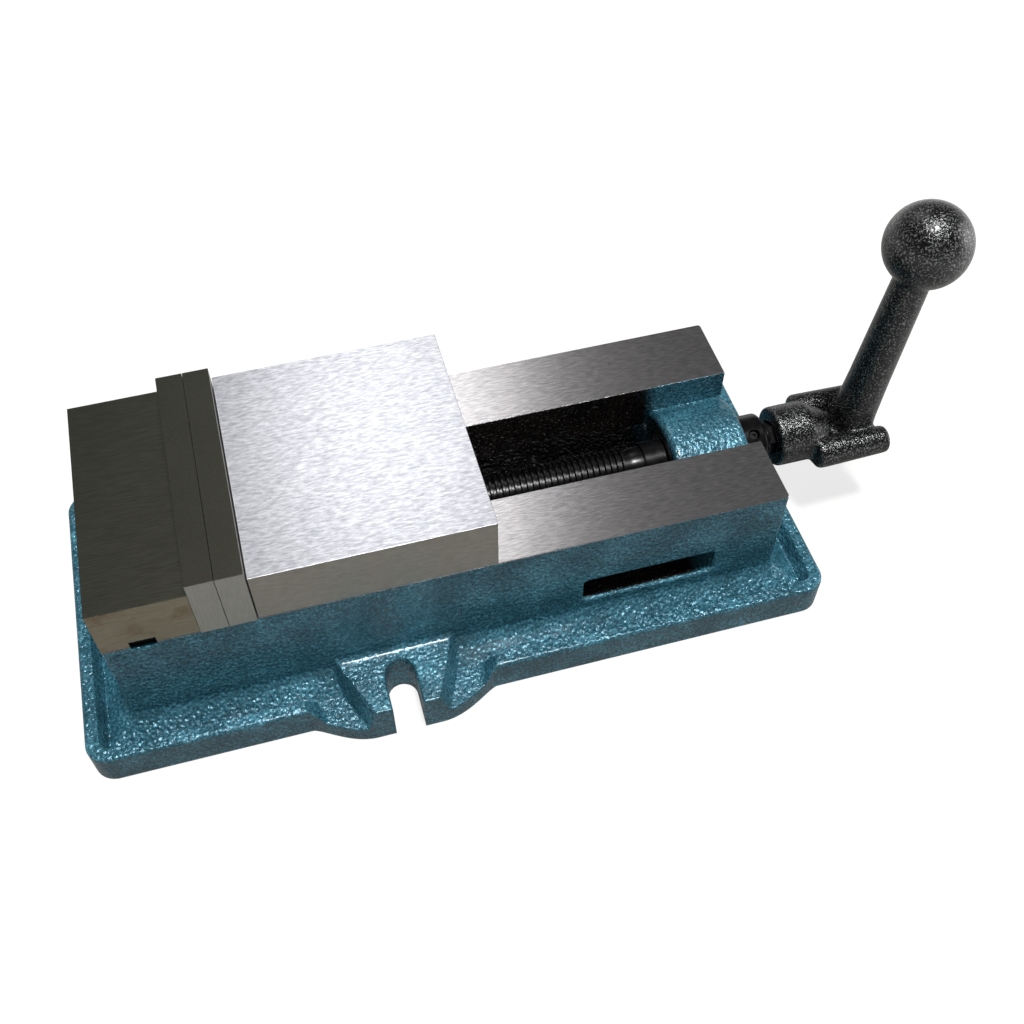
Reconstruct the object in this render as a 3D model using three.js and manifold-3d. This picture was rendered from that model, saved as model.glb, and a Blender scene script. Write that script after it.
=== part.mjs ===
// Six-inch machine vise, jaws closed.
// Millimetres, +Z up, +X towards the crank. The origin is on the underside, midway between the clamp slots.

import * as THREE from "three";
import { mergeVertices } from "three/addons/utils/BufferGeometryUtils.js";
import Module from "manifold-3d";

const wasm = await Module();
wasm.setup();

// ---------------------------------------------------------------- driving dimensions

const gap = 0.3; // running or fitting clearance between neighbouring pieces

// bed: two ground rails on a hollow casting
const jawWidth = 152.4;
const bedLeft = -158;
const bedLength = 406.4;
const bedHeight = 96;
const railWidth = 46;
const railDepth = 34; // rail thickness above the undercut that holds the nut down
const undercut = 8; // how far the chamber reaches under each rail
const floorThickness = 14;
const endBlockLength = 56; // solid end of the bed under the fixed jaw

// flange with a raised lip, and a gutter between lip and bed
const flangeEndMargin = 29.8;
const flangeSideMargin = 25.9;
const flangeCornerRadius = 14;
const lipHeight = 24.8;
const lipWidth = 8.5;
const lipDraft = 3.5;
const gutterHeight = 13;
const gutterRise = 11; // how much higher the gutter floor is at the bed wall

// clamp lugs
const lugReach = 15; // beyond the flange
const lugHalfFlat = 20;
const lugHalfFoot = 58;
const padHeight = 31;
const padHalfAtBed = 37;
const padHalfAtFace = 19.3;
const padDraft = 5;
const slotWidth = 18.4;
const slotDepth = 32.5; // from the lug face to the end of the slot

// chip windows in the bed walls
const windowLeft = 121;
const windowLength = 85.6;
const windowBottom = 34;
const windowHeight = 21;
const windowRadius = 4;

// screw boss between the rails
const bossLength = 50.4;
const bossCrownDrop = 12; // below the rail tops
const bossCrownFall = 12.8; // from the crown down to where the boss meets the rails
const chamberPastBoss = 10; // the undercut chamber runs this far beside the boss

// fixed jaw, its key and its bolts
const fixedJawLength = 54;
const fixedJawHeight = 36.2;
const keyWidth = 14.6;
const keyFromEnd = 15.6;
const keyAboveBed = 4.7;
const keyIntoBed = 3;
const keyRecess = 3;
const boltSpacing = 60;
const boltDiameter = 16;
const boltHeadDiameter = 24;
const boltHeadHeight = 16;
const boltSeat = 56; // height of the bolt seat above the underside
const boltFromJawFace = 16;
const boltIntoJaw = 24;
const boltSocket = 14;

// jaw plates and their screws
const plateThickness = 15.5;
const plateHeight = 46.1;
const plateOverhang = 1.2; // wider than the jaws, each side
const plateScrewSpacing = 101.6;
const plateScrewHeight = 21; // above the rails
const plateScrewDiameter = 12;
const plateScrewHead = 18;
const plateScrewHeadHeight = 11.6;
const plateScrewIntoJaw = 16;
const plateScrewSocket = 10;
const movableJawStandoff = 0.8; // relief line between the movable jaw and its plate

// movable jaw
const jawLength = 138.6;
const jawHeight = 38.8;
const jawFrontWall = 18;
const jawRearWall = 16;
const jawRoof = 9;
const pocketClearance = 1.8; // beside the nut, each side
const lugHalfWidth = 22; // lug that holds the half-ball segment

// half-ball segment, which sits in the jaw's lug against the nut's slanted face
const segmentRadius = 14;
const segmentStandProud = 3;
const segmentCentreFromPocket = 27;
const segmentCentreAboveBed = 16;

// nut
const nutFrontFromPocket = 42;
const nutLength = 42;
const nutTail = 100; // length of the part above the bed, from the front of the pocket
const nutLow = 20; // below the screw axis
const wingClearance = 0.7; // from the nut's wings to the chamber walls

// adjusting set screw in the rear wall of the movable jaw
const adjustScrewDiameter = 12;
const adjustScrewSocket = 6;
const adjustScrewRecess = 3;

// lead screw
const screwHeight = 57.3;
const threadDiameter = 28;
const screwEnd = -14;
const shoulderDiameter = 30;
const shoulderLength = 15;
const shankDiameter = 24;
const hexAcrossFlats = 19;
const hexLength = 31;
const bossClearance = 1.4; // of the boss's bore over the shank, across

// thrust bearing
const bearingDiameter = 42;
const bearingClearance = 1.2; // of the pocket over the bearing, across
const raceThickness = 2.6;
const cageThickness = 1.6;
const ballDiameter = 4.6;
const ballCount = 10;

// thrust collar and its set screw
const collarDiameter = 36;
const collarLength = 17.6;
const collarRound = 2.5;
const collarScrewDiameter = 6;
const collarScrewAngle = 25; // degrees from upright, towards the front
const collarScrewSink = 1.4;

// crank handle
const hubStandoff = 7.6; // from the collar to the hub
const hubRadius = 20;
const hubLength = 25;
const forkLength = 54;
const forkRadius = 9;
const forkHalfSpread = 20;
const forkDrop = 2;
const forkWebThickness = 12;
const hubRampLength = 14;
const socketDepth = 26;
const armFromForkEnd = 20.5;
const armLean = 5; // degrees from upright, away from the bed
const armRootRadius = 12.7;
const armTopRadius = 10.8;
const ballRadius = 26;
const ballHeight = 148; // above the screw axis

// ---------------------------------------------------------------- positions that follow

const halfWidth = jawWidth / 2;
const bedRight = bedLeft + bedLength;
const channelHalf = halfWidth - railWidth;
const chamberHalf = channelHalf + undercut;
const chamberLeft = bedLeft + endBlockLength;
const bossLeft = bedRight - bossLength;
const bossCrownRadius = (channelHalf ** 2 + bossCrownFall ** 2) / (2 * bossCrownFall);
const flangeLeft = bedLeft - flangeEndMargin;
const flangeRight = bedRight + flangeEndMargin;
const flangeHalf = halfWidth + flangeSideMargin;
const lugFace = flangeHalf + lugReach;
const jawUnderside = bedHeight + gap;
const fixedJawFace = bedLeft + fixedJawLength;
const movablePlateLeft = fixedJawFace + gap + plateThickness + gap;
const jawLeft = movablePlateLeft + plateThickness + movableJawStandoff;
const jawRight = jawLeft + jawLength;
const pocketLeft = jawLeft + jawFrontWall;
const pocketRight = jawRight - jawRearWall;
const pocketTop = bedHeight + jawHeight - jawRoof;
const pocketHalfWidth = channelHalf + pocketClearance;
const segmentX = pocketLeft + segmentCentreFromPocket;
const segmentZ = bedHeight + segmentCentreAboveBed;
const nutLeft = pocketLeft + nutFrontFromPocket;
const plateScrewZ = bedHeight + plateScrewHeight;
const boltX = fixedJawFace - boltFromJawFace;
const shoulderLeft = bossLeft - shoulderLength;
const bearingLeft = bossLeft + gap;
const cageLeft = bearingLeft + raceThickness + gap + ballDiameter / 2;
const housingRaceLeft = cageLeft + ballDiameter / 2 + gap;
const bearingPocketEnd = housingRaceLeft + raceThickness + gap;
const collarLeft = bedRight + gap;
const collarRight = collarLeft + collarLength;
const hubLeft = collarRight + hubStandoff;
const hexLeft = hubLeft - 5;
const forkLeft = hubLeft + hubLength;
const armX = forkLeft + forkLength - armFromForkEnd;

// ---------------------------------------------------------------- materials

const finish = (color, roughness, metalness) => new THREE.MeshStandardMaterial({ color, roughness, metalness });
const hammertone = finish(0x2f6f84, 0.42, 0.35);
const groundSteel = finish(0xb9b8b4, 0.32, 0.95);
const darkSteel = finish(0x5b5954, 0.4, 0.9);
const blackOxide = finish(0x17181a, 0.45, 0.6);
const bearingSteel = finish(0xc9cbcd, 0.2, 1);
const bronze = finish(0x9a7a45, 0.4, 0.9);
const crankPaint = finish(0x2b2c2e, 0.4, 0.5);

// ---------------------------------------------------------------- helpers

// A closed geometry as a solid that can be joined and cut.
function solid(geometry) {
  const bare = geometry.index ? geometry.toNonIndexed() : geometry.clone();
  for (const name of Object.keys(bare.attributes)) if (name !== "position") bare.deleteAttribute(name);
  const merged = mergeVertices(bare, 1e-4);
  return new wasm.Manifold(
    new wasm.Mesh({
      numProp: 3,
      vertProperties: merged.attributes.position.array,
      triVerts: new Uint32Array(merged.index.array),
    }),
  );
}

const join = (...solids) => solids.reduce((a, b) => a.add(b));
const cut = (body, ...tools) => tools.reduce((a, b) => a.subtract(b), body);

// A named mesh from a solid.
function piece(name, body, material) {
  const made = body.getMesh();
  const geometry = new THREE.BufferGeometry();
  geometry.setAttribute("position", new THREE.BufferAttribute(made.vertProperties, 3));
  geometry.setIndex(new THREE.BufferAttribute(made.triVerts, 1));
  geometry.computeVertexNormals();
  const mesh = new THREE.Mesh(geometry, material);
  mesh.name = name;
  return mesh;
}

// A box from its lowest to its highest corner.
function box([x0, y0, z0], [x1, y1, z1]) {
  const geometry = new THREE.BoxGeometry(x1 - x0, y1 - y0, z1 - z0);
  return solid(geometry.translate((x0 + x1) / 2, (y0 + y1) / 2, (z0 + z1) / 2));
}

// A straight or tapered rod along X, between two radii.
function rodX(x0, x1, radius, [y, z] = [0, 0], sides = 32, endRadius = radius) {
  const geometry = new THREE.CylinderGeometry(endRadius, radius, x1 - x0, sides);
  geometry.rotateZ(-Math.PI / 2);
  return solid(geometry.translate((x0 + x1) / 2, y, z));
}

// An upright rod.
function rodZ(z0, z1, radius, [x, y] = [0, 0], sides = 24) {
  const geometry = new THREE.CylinderGeometry(radius, radius, z1 - z0, sides);
  geometry.rotateX(Math.PI / 2);
  return solid(geometry.translate(x, y, (z0 + z1) / 2));
}

// A hexagonal bar along X, with its corners at top and bottom.
const hexX = (x0, x1, acrossFlats, centre) => rodX(x0, x1, acrossFlats / Math.sqrt(3), centre, 6);

// An outline in X and Y, raised from one height to another.
function raised(shape, z0, z1, curveSegments = 6) {
  const geometry = new THREE.ExtrudeGeometry(shape, { depth: z1 - z0, bevelEnabled: false, curveSegments });
  return solid(geometry.translate(0, 0, z0));
}

// An outline in X and Z, carried from one Y to another.
function carried(points, y0, y1) {
  const shape = new THREE.Shape(points.map(([x, z]) => new THREE.Vector2(x, z)));
  const geometry = new THREE.ExtrudeGeometry(shape, { depth: y1 - y0, bevelEnabled: false });
  geometry.rotateX(Math.PI / 2);
  return solid(geometry.translate(0, y1, 0));
}

// A rectangle with round corners.
function roundedRectangle(x0, x1, y0, y1, radius) {
  const shape = new THREE.Shape();
  shape.moveTo(x0 + radius, y0);
  shape.lineTo(x1 - radius, y0);
  shape.absarc(x1 - radius, y0 + radius, radius, -Math.PI / 2, 0);
  shape.lineTo(x1, y1 - radius);
  shape.absarc(x1 - radius, y1 - radius, radius, 0, Math.PI / 2);
  shape.lineTo(x0 + radius, y1);
  shape.absarc(x0 + radius, y1 - radius, radius, Math.PI / 2, Math.PI);
  shape.lineTo(x0, y0 + radius);
  shape.absarc(x0 + radius, y0 + radius, radius, Math.PI, Math.PI * 1.5);
  return shape;
}

// A solid between two outlines with the same number of points, one above the other.
function loft(lower, z0, upper, z1) {
  const count = lower.length;
  const positions = [...lower.map((p) => [p.x, p.y, z0]), ...upper.map((p) => [p.x, p.y, z1])];
  const index = [];
  for (let i = 0; i < count; i++) {
    const j = (i + 1) % count;
    index.push(i, j, count + j, i, count + j, count + i);
  }
  for (const [a, b, c] of THREE.ShapeUtils.triangulateShape(lower, [])) index.push(c, b, a);
  for (const [a, b, c] of THREE.ShapeUtils.triangulateShape(upper, [])) index.push(count + a, count + b, count + c);
  const geometry = new THREE.BufferGeometry();
  geometry.setAttribute("position", new THREE.Float32BufferAttribute(positions.flat(), 3));
  geometry.setIndex(index);
  return solid(geometry);
}

// The points of a round-cornered rectangle, the same number whatever its size.
function ringPoints(margin, radius) {
  const shape = roundedRectangle(
    flangeLeft + margin,
    flangeRight - margin,
    -flangeHalf + margin,
    flangeHalf - margin,
    radius,
  );
  const points = shape.getPoints(5);
  return points[0].equals(points[points.length - 1]) ? points.slice(0, -1) : points;
}

// ---------------------------------------------------------------- base casting

// Half of a symmetrical outline, given for positive X, as a closed outline on one side of the bed.
function mirroredOutline(half, side) {
  const points = [...half.map(([x, y]) => [-x, y * side]).reverse(), ...half.map(([x, y]) => [x, y * side])];
  return points.map(([x, y]) => new THREE.Vector2(x, y));
}

// Outline points run clockwise on one side and the other way round on the other.
const wound = (points) => (THREE.ShapeUtils.isClockWise(points) ? points.slice().reverse() : points);

function lugSolids(side) {
  const footing = wound(
    mirroredOutline(
      [
        [lugHalfFoot, halfWidth],
        [lugHalfFoot, flangeHalf],
        [lugHalfFoot - 8, flangeHalf + lugReach * 0.2],
        [lugHalfFoot - 21, lugFace - 3.5],
        [lugHalfFlat + 8, lugFace - 0.8],
        [lugHalfFlat, lugFace],
      ].reverse(),
      side,
    ),
  );
  const padAt = (extra) =>
    wound(
      mirroredOutline(
        [
          [padHalfAtFace + extra, lugFace],
          [padHalfAtBed + extra, halfWidth - 2],
        ],
        side,
      ),
    );
  return {
    foot: raised(new THREE.Shape(footing), 0, gutterHeight),
    pad: loft(padAt(padDraft), gutterHeight - 1, padAt(0), padHeight),
  };
}

function lipGap(side) {
  const opening = (extra) =>
    wound(
      mirroredOutline(
        [
          [lugHalfFoot - 3 + extra, halfWidth + 6],
          [lugHalfFoot - 1 + extra, lugFace + 5],
        ],
        side,
      ),
    );
  return loft(opening(0), gutterHeight, opening(4), lipHeight + 2);
}

function clampSlot(side) {
  const radius = slotWidth / 2;
  const centre = side * (lugFace - slotDepth + radius);
  const outer = side * (lugFace + 5);
  const through = [-1, padHeight + 1];
  return join(
    rodZ(...through, radius, [0, centre], 32),
    box([-radius, Math.min(centre, outer), through[0]], [radius, Math.max(centre, outer), through[1]]),
  );
}

// The space above the boss: everything between the rails over a barrel-shaped crown.
function spaceAboveBoss() {
  const crown = bedHeight - bossCrownDrop;
  const over = box([bossLeft - 1, -channelHalf, screwHeight], [bedRight + 1, channelHalf, bedHeight + 1]);
  return cut(over, rodX(bossLeft - 2, bedRight + 2, bossCrownRadius, [0, crown - bossCrownRadius], 72));
}

function chipWindow(side) {
  const shape = roundedRectangle(
    windowLeft,
    windowLeft + windowLength,
    windowBottom,
    windowBottom + windowHeight,
    windowRadius,
  );
  const wall = halfWidth - chamberHalf;
  const geometry = new THREE.ExtrudeGeometry(shape, { depth: wall + 2, bevelEnabled: false, curveSegments: 3 });
  geometry.rotateX(Math.PI / 2);
  return solid(geometry.translate(0, side > 0 ? halfWidth + 1 : -chamberHalf + 1, 0));
}

// The casting is one piece of iron, made here as five solids that each stay simple: the bed with its floor, the
// two clamp lugs, and the flange at either end. The fitting gap parts them.

// The flange all round: its lip, its gutter floor and, on each side, the footing and pad of a clamp lug.
function wholeFlange() {
  const rim = loft(ringPoints(0, flangeCornerRadius), 0, ringPoints(0, flangeCornerRadius), lipHeight);
  const inside = loft(
    ringPoints(lipWidth + lipDraft, flangeCornerRadius - 4),
    gutterHeight,
    ringPoints(lipWidth - lipDraft * 0.2, flangeCornerRadius - 2),
    lipHeight + 1,
  );
  const slope = loft(
    ringPoints(lipWidth + lipDraft, flangeCornerRadius - 4),
    gutterHeight - 1,
    ringPoints(flangeSideMargin - 1, 4),
    gutterHeight + gutterRise,
  );
  const lugs = [-1, 1].map(lugSolids);
  return cut(
    join(cut(rim, inside, lipGap(-1), lipGap(1)), slope, ...lugs.flatMap(({ foot, pad }) => [foot, pad])),
    box([bedLeft - gap, -halfWidth - gap, -1], [bedRight + gap, halfWidth + gap, bedHeight]),
    clampSlot(-1),
    clampSlot(1),
  );
}

// The block of space that holds one clamp lug, out from the bed wall.
const lugBlock = (side, extra) =>
  box(
    [-lugHalfFoot - extra, Math.min(side * halfWidth, side * (lugFace + 1)), -1],
    [lugHalfFoot + extra, Math.max(side * halfWidth, side * (lugFace + 1)), bedHeight],
  );

const clampLug = (side) => wholeFlange().intersect(lugBlock(side, 0));

// One end of the flange, a U round that end of the bed.
function flangeEnd(side) {
  const far = side * (bedLength + flangeEndMargin);
  const half = box([Math.min(0, far), -lugFace, -1], [Math.max(0, far), lugFace, bedHeight]);
  return cut(wholeFlange().intersect(half), lugBlock(-1, gap), lugBlock(1, gap));
}

function bedCasting() {
  const bed = box([bedLeft, -halfWidth, 0], [bedRight, halfWidth, bedHeight]);
  const chamber = cut(
    box(
      [chamberLeft, -chamberHalf, floorThickness],
      [bossLeft + chamberPastBoss, chamberHalf, bedHeight - railDepth],
    ),
    box([bossLeft, -channelHalf, 0], [bedRight, channelHalf, bedHeight]),
  );
  const channel = box([chamberLeft, -channelHalf, floorThickness + 1], [bossLeft, channelHalf, bedHeight + 1]);
  const axis = [0, screwHeight];
  return cut(
    bed,
    chamber,
    channel,
    spaceAboveBoss(),
    rodX(bossLeft - 1, bedRight + 1, (shankDiameter + bossClearance) / 2, axis),
    rodX(bossLeft - 1, bearingPocketEnd, (bearingDiameter + bearingClearance) / 2, axis),
    chipWindow(-1),
    chipWindow(1),
    keySlot(bedHeight - keyIntoBed - gap, bedHeight + 1),
    ...[-1, 1].flatMap((side) => [
      rodZ(-1, boltSeat, boltHeadDiameter / 2 + 1, [boltX, (side * boltSpacing) / 2]),
      rodZ(boltSeat - 1, bedHeight + 1, boltDiameter / 2 + 0.6, [boltX, (side * boltSpacing) / 2]),
    ]),
  );
}

// ---------------------------------------------------------------- fixed jaw, key and bolts

const keyLeft = bedLeft + keyFromEnd;

// The key's slot, which runs right across, between two heights.
const keySlot = (low, high) => box([keyLeft, -halfWidth - 1, low], [keyLeft + keyWidth, halfWidth + 1, high]);

function fixedJaw() {
  return cut(
    box([bedLeft, -halfWidth, jawUnderside], [fixedJawFace, halfWidth, bedHeight + fixedJawHeight]),
    keySlot(bedHeight, bedHeight + keyAboveBed),
    ...[-1, 1].map((side) =>
      rodZ(bedHeight - 1, bedHeight + boltIntoJaw + 2, boltDiameter / 2 + gap, [boltX, (side * boltSpacing) / 2]),
    ),
    ...plateScrewHoles(fixedJawFace - plateScrewIntoJaw - 3, fixedJawFace + 1, plateScrewDiameter / 2 + gap),
  );
}

function jawKey() {
  const end = halfWidth - keyRecess;
  return box(
    [keyLeft + gap, -end, bedHeight - keyIntoBed],
    [keyLeft + keyWidth - gap, end, bedHeight + keyAboveBed - gap],
  );
}

function jawBolt(side) {
  const centre = [boltX, (side * boltSpacing) / 2];
  const headBottom = boltSeat - gap - boltHeadHeight;
  return cut(
    join(
      rodZ(headBottom, boltSeat - gap, boltHeadDiameter / 2, centre),
      rodZ(boltSeat - gap - 1, bedHeight + boltIntoJaw, boltDiameter / 2, centre),
    ),
    rodZ(headBottom - 1, headBottom + boltHeadHeight / 2, boltSocket / Math.sqrt(3), centre, 6),
  );
}

// ---------------------------------------------------------------- jaw plates and their screws

const plateScrewSides = [-1, 1].map((side) => (side * plateScrewSpacing) / 2);

const plateScrewHoles = (x0, x1, radius) => plateScrewSides.map((y) => rodX(x0, x1, radius, [y, plateScrewZ], 24));

// A plate from its left face, with the screw heads sunk in its gripping face.
function jawPlate(left, gripsRight) {
  const right = left + plateThickness;
  const seat = gripsRight ? right - plateScrewHeadHeight - gap : left + plateScrewHeadHeight + gap;
  const heads = gripsRight ? [seat, right + 1] : [left - 1, seat];
  const half = halfWidth + plateOverhang;
  return cut(
    box([left, -half, jawUnderside], [right, half, bedHeight + plateHeight]),
    ...plateScrewHoles(left - 1, right + 1, plateScrewDiameter / 2 + 0.6),
    ...plateScrewHoles(...heads, plateScrewHead / 2 + 0.6),
  );
}

// A socket-head screw along X, its head towards +X when gripsRight is true.
function plateScrew(left, gripsRight, y) {
  const right = left + plateThickness;
  const centre = [y, plateScrewZ];
  const towards = gripsRight ? 1 : -1;
  const face = gripsRight ? right - gap : left + gap;
  const seat = face - towards * plateScrewHeadHeight;
  const tip = gripsRight ? fixedJawFace - plateScrewIntoJaw : jawLeft + plateScrewIntoJaw;
  const span = (a, b) => [Math.min(a, b), Math.max(a, b)];
  return cut(
    join(
      rodX(...span(seat, face), plateScrewHead / 2, centre, 24),
      rodX(...span(tip, seat + towards), plateScrewDiameter / 2, centre, 24),
    ),
    hexX(...span(face - towards * plateScrewHeadHeight * 0.5, face + towards), plateScrewSocket, centre),
  );
}

// ---------------------------------------------------------------- movable jaw, segment, nut, adjusting screw

// Everything below a 45-degree plane, a given distance short of the segment's centre, down to a lowest corner.
function belowSlant(offset, x0, z0, halfSpan) {
  const sum = segmentX + segmentZ - offset * Math.SQRT2;
  const outline = [
    [x0, z0],
    [sum - z0, z0],
    [x0, sum - x0],
  ];
  return carried(outline, -halfSpan, halfSpan);
}

function segmentBall(radius) {
  return solid(new THREE.SphereGeometry(radius, 20, 12).translate(segmentX, 0, segmentZ));
}

function movableJaw() {
  const top = bedHeight + jawHeight;
  const pocket = box(
    [pocketLeft, -pocketHalfWidth, jawUnderside - 1],
    [pocketRight, pocketHalfWidth, pocketTop],
  );
  const lug = belowSlant(segmentStandProud, pocketLeft - 1, jawUnderside, lugHalfWidth);
  const block = box([jawLeft, -halfWidth, jawUnderside], [jawRight, halfWidth, top]);
  return cut(
    join(cut(block, pocket), lug.intersect(block)),
    segmentBall(segmentRadius + gap),
    rodX(pocketRight - 1, jawRight + 1, adjustScrewDiameter / 2 + gap, [0, segmentZ], 24),
    ...plateScrewHoles(jawLeft - 1, jawLeft + plateScrewIntoJaw + 3, plateScrewDiameter / 2 + gap),
  );
}

function lockSegment() {
  const reach = segmentRadius + 2;
  return segmentBall(segmentRadius).intersect(belowSlant(0, segmentX - reach, segmentZ - reach, reach));
}

function jawNut() {
  const clearOfRails = channelHalf - gap;
  const wingHalf = chamberHalf - wingClearance;
  const ledge = bedHeight - railDepth - gap;
  const right = nutLeft + nutLength;
  const top = pocketTop - gap * 4;
  const slantFoot = segmentX + segmentZ + gap * Math.SQRT2;
  const upper = carried(
    [
      [nutLeft, ledge],
      [right, ledge],
      [right, bedHeight + 2],
      [pocketLeft + nutTail, bedHeight + 2],
      [pocketLeft + nutTail, top],
      [slantFoot - top, top],
      [nutLeft, slantFoot - nutLeft],
    ],
    -clearOfRails,
    clearOfRails,
  );
  const wings = box([nutLeft, -wingHalf, screwHeight - nutLow], [right, wingHalf, ledge]);
  return cut(join(upper, wings), rodX(nutLeft - 1, right + 1, threadDiameter / 2 + gap, [0, screwHeight], 40));
}

function adjustScrew() {
  const tip = pocketLeft + nutTail + gap;
  const end = jawRight - adjustScrewRecess;
  const axis = [0, segmentZ];
  return cut(
    rodX(tip, end, adjustScrewDiameter / 2, axis, 24),
    hexX(end - 6, end + 1, adjustScrewSocket, axis),
  );
}

// ---------------------------------------------------------------- lead screw, bearing, collar

const axis = [0, screwHeight];

function leadScrew() {
  const chamfer = 2;
  return join(
    rodX(screwEnd + chamfer, shoulderLeft + 1, threadDiameter / 2, axis, 32),
    rodX(screwEnd, screwEnd + chamfer, threadDiameter / 2 - chamfer, axis, 32, threadDiameter / 2),
    rodX(shoulderLeft, bossLeft, shoulderDiameter / 2, axis, 32),
    rodX(bossLeft - 1, hexLeft + 1, shankDiameter / 2, axis, 32),
    hexX(hexLeft, hexLeft + hexLength, hexAcrossFlats, axis),
  );
}

const race = (left) =>
  cut(
    rodX(left, left + raceThickness, bearingDiameter / 2, axis, 32),
    rodX(left - 1, left + raceThickness + 1, shankDiameter / 2 + gap, axis, 32),
  );

// A sheet ring with the balls held in it.
function ballCage() {
  const ring = cut(
    rodX(cageLeft - cageThickness / 2, cageLeft + cageThickness / 2, bearingDiameter / 2 - 0.6, axis, 32),
    rodX(cageLeft - 5, cageLeft + 5, shankDiameter / 2 + 0.9, axis, 32),
  );
  const pitchRadius = (bearingDiameter / 2 + shankDiameter / 2) / 2;
  const balls = Array.from({ length: ballCount }, (_, i) => {
    const turn = (i / ballCount) * Math.PI * 2;
    const ball = new THREE.SphereGeometry(ballDiameter / 2, 8, 6);
    return solid(
      ball.translate(cageLeft, Math.sin(turn) * pitchRadius, screwHeight + Math.cos(turn) * pitchRadius),
    );
  });
  return join(ring, ...balls);
}

// A cylinder from the screw axis outwards, through the collar's set screw hole.
function collarRadial(from, to, radius, sides) {
  const geometry = new THREE.CylinderGeometry(radius, radius, to - from, sides);
  geometry.rotateX(Math.PI / 2).translate(0, 0, (from + to) / 2);
  geometry.rotateX(THREE.MathUtils.degToRad(collarScrewAngle));
  return solid(geometry.translate((collarLeft + collarRight) / 2, 0, screwHeight));
}

function thrustCollar() {
  const radius = collarDiameter / 2;
  return cut(
    join(
      rodX(collarLeft, collarRight - collarRound, radius, axis, 32),
      rodX(collarRight - collarRound, collarRight, radius, axis, 32, radius - collarRound * 0.8),
    ),
    rodX(collarLeft - 1, collarRight + 1, shankDiameter / 2 + gap, axis, 32),
    collarRadial(shankDiameter / 2, radius + 2, collarScrewDiameter / 2 + gap, 20),
  );
}

function collarSetScrew() {
  const foot = shankDiameter / 2 + gap;
  const top = collarDiameter / 2 - collarScrewSink;
  return cut(
    collarRadial(foot, top, collarScrewDiameter / 2, 20),
    collarRadial(top - 2, top + 1, 1.7, 6),
  );
}

// ---------------------------------------------------------------- crank handle

// A tapered rod from the screw axis up to the ball, leaning away from the bed.
function crankArm(length) {
  const geometry = new THREE.CylinderGeometry(armTopRadius, armRootRadius, length, 24);
  geometry.rotateX(Math.PI / 2).translate(0, 0, length / 2);
  geometry.rotateY(THREE.MathUtils.degToRad(armLean));
  return solid(geometry.translate(armX, 0, screwHeight));
}

function crankHandle() {
  const lean = THREE.MathUtils.degToRad(armLean);
  const length = ballHeight / Math.cos(lean);
  const forkRight = forkLeft + forkLength;
  const forkZ = screwHeight - forkDrop;
  const webTop = forkZ + forkWebThickness / 4;
  const bars = [-1, 1].map((side) =>
    join(
      rodX(forkLeft - 1, forkRight - forkRadius / 2, forkRadius, [side * forkHalfSpread, forkZ], 20),
      rodX(
        forkRight - forkRadius / 2,
        forkRight,
        forkRadius,
        [side * forkHalfSpread, forkZ],
        20,
        forkRadius * 0.7,
      ),
    ),
  );
  const web = box(
    [forkLeft - 1, -forkHalfSpread, webTop - forkWebThickness],
    [forkRight - 2, forkHalfSpread, webTop],
  );
  const ball = new THREE.SphereGeometry(ballRadius, 28, 18);
  ball.translate(armX + ballHeight * Math.tan(lean), 0, screwHeight + ballHeight);
  return cut(
    join(
      rodX(hubLeft, forkLeft, hubRadius, axis, 32),
      rodX(forkLeft - 1, forkLeft + hubRampLength, hubRadius, axis, 32, hubRadius * 0.55),
      ...bars,
      web,
      crankArm(length),
      solid(ball),
    ),
    hexX(hubLeft - 1, hubLeft + socketDepth, hexAcrossFlats + 2 * gap, axis),
  );
}

// ---------------------------------------------------------------- the vise

const vise = new THREE.Group();

const base = new THREE.Group();
base.add(
  piece("bed_casting", bedCasting(), hammertone),
  piece("clamp_lug_front", clampLug(-1), hammertone),
  piece("clamp_lug_back", clampLug(1), hammertone),
  piece("flange_fixed_end", flangeEnd(-1), hammertone),
  piece("flange_crank_end", flangeEnd(1), hammertone),
  piece("fixed_jaw", fixedJaw(), darkSteel),
  piece("fixed_jaw_key", jawKey(), blackOxide),
  piece("fixed_jaw_bolt_front", jawBolt(-1), blackOxide),
  piece("fixed_jaw_bolt_back", jawBolt(1), blackOxide),
  piece("fixed_jaw_plate", jawPlate(fixedJawFace + gap, true), darkSteel),
  piece("bearing_housing_race", race(housingRaceLeft), bearingSteel),
);
plateScrewSides.forEach((y, i) => {
  const place = i ? "back" : "front";
  base.add(piece(`fixed_plate_screw_${place}`, plateScrew(fixedJawFace + gap, true, y), blackOxide));
});

const slidingJaw = new THREE.Group();
slidingJaw.add(
  piece("movable_jaw", movableJaw(), groundSteel),
  piece("movable_jaw_plate", jawPlate(movablePlateLeft, false), darkSteel),
  piece("lock_segment", lockSegment(), bearingSteel),
  piece("jaw_nut", jawNut(), bronze),
  piece("jaw_adjust_screw", adjustScrew(), blackOxide),
);
plateScrewSides.forEach((y, i) => {
  const place = i ? "back" : "front";
  slidingJaw.add(piece(`movable_plate_screw_${place}`, plateScrew(movablePlateLeft, false, y), blackOxide));
});

const turningParts = new THREE.Group();
turningParts.add(
  piece("lead_screw", leadScrew(), blackOxide),
  piece("bearing_shaft_race", race(bearingLeft), bearingSteel),
  piece("bearing_ball_cage", ballCage(), bearingSteel),
  piece("thrust_collar", thrustCollar(), blackOxide),
  piece("collar_set_screw", collarSetScrew(), blackOxide),
  piece("crank_handle", crankHandle(), crankPaint),
);

vise.add(base, slidingJaw, turningParts);

export default vise;
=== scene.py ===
import math

import bmesh
import bpy
import numpy as np
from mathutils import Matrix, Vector, noise


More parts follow.
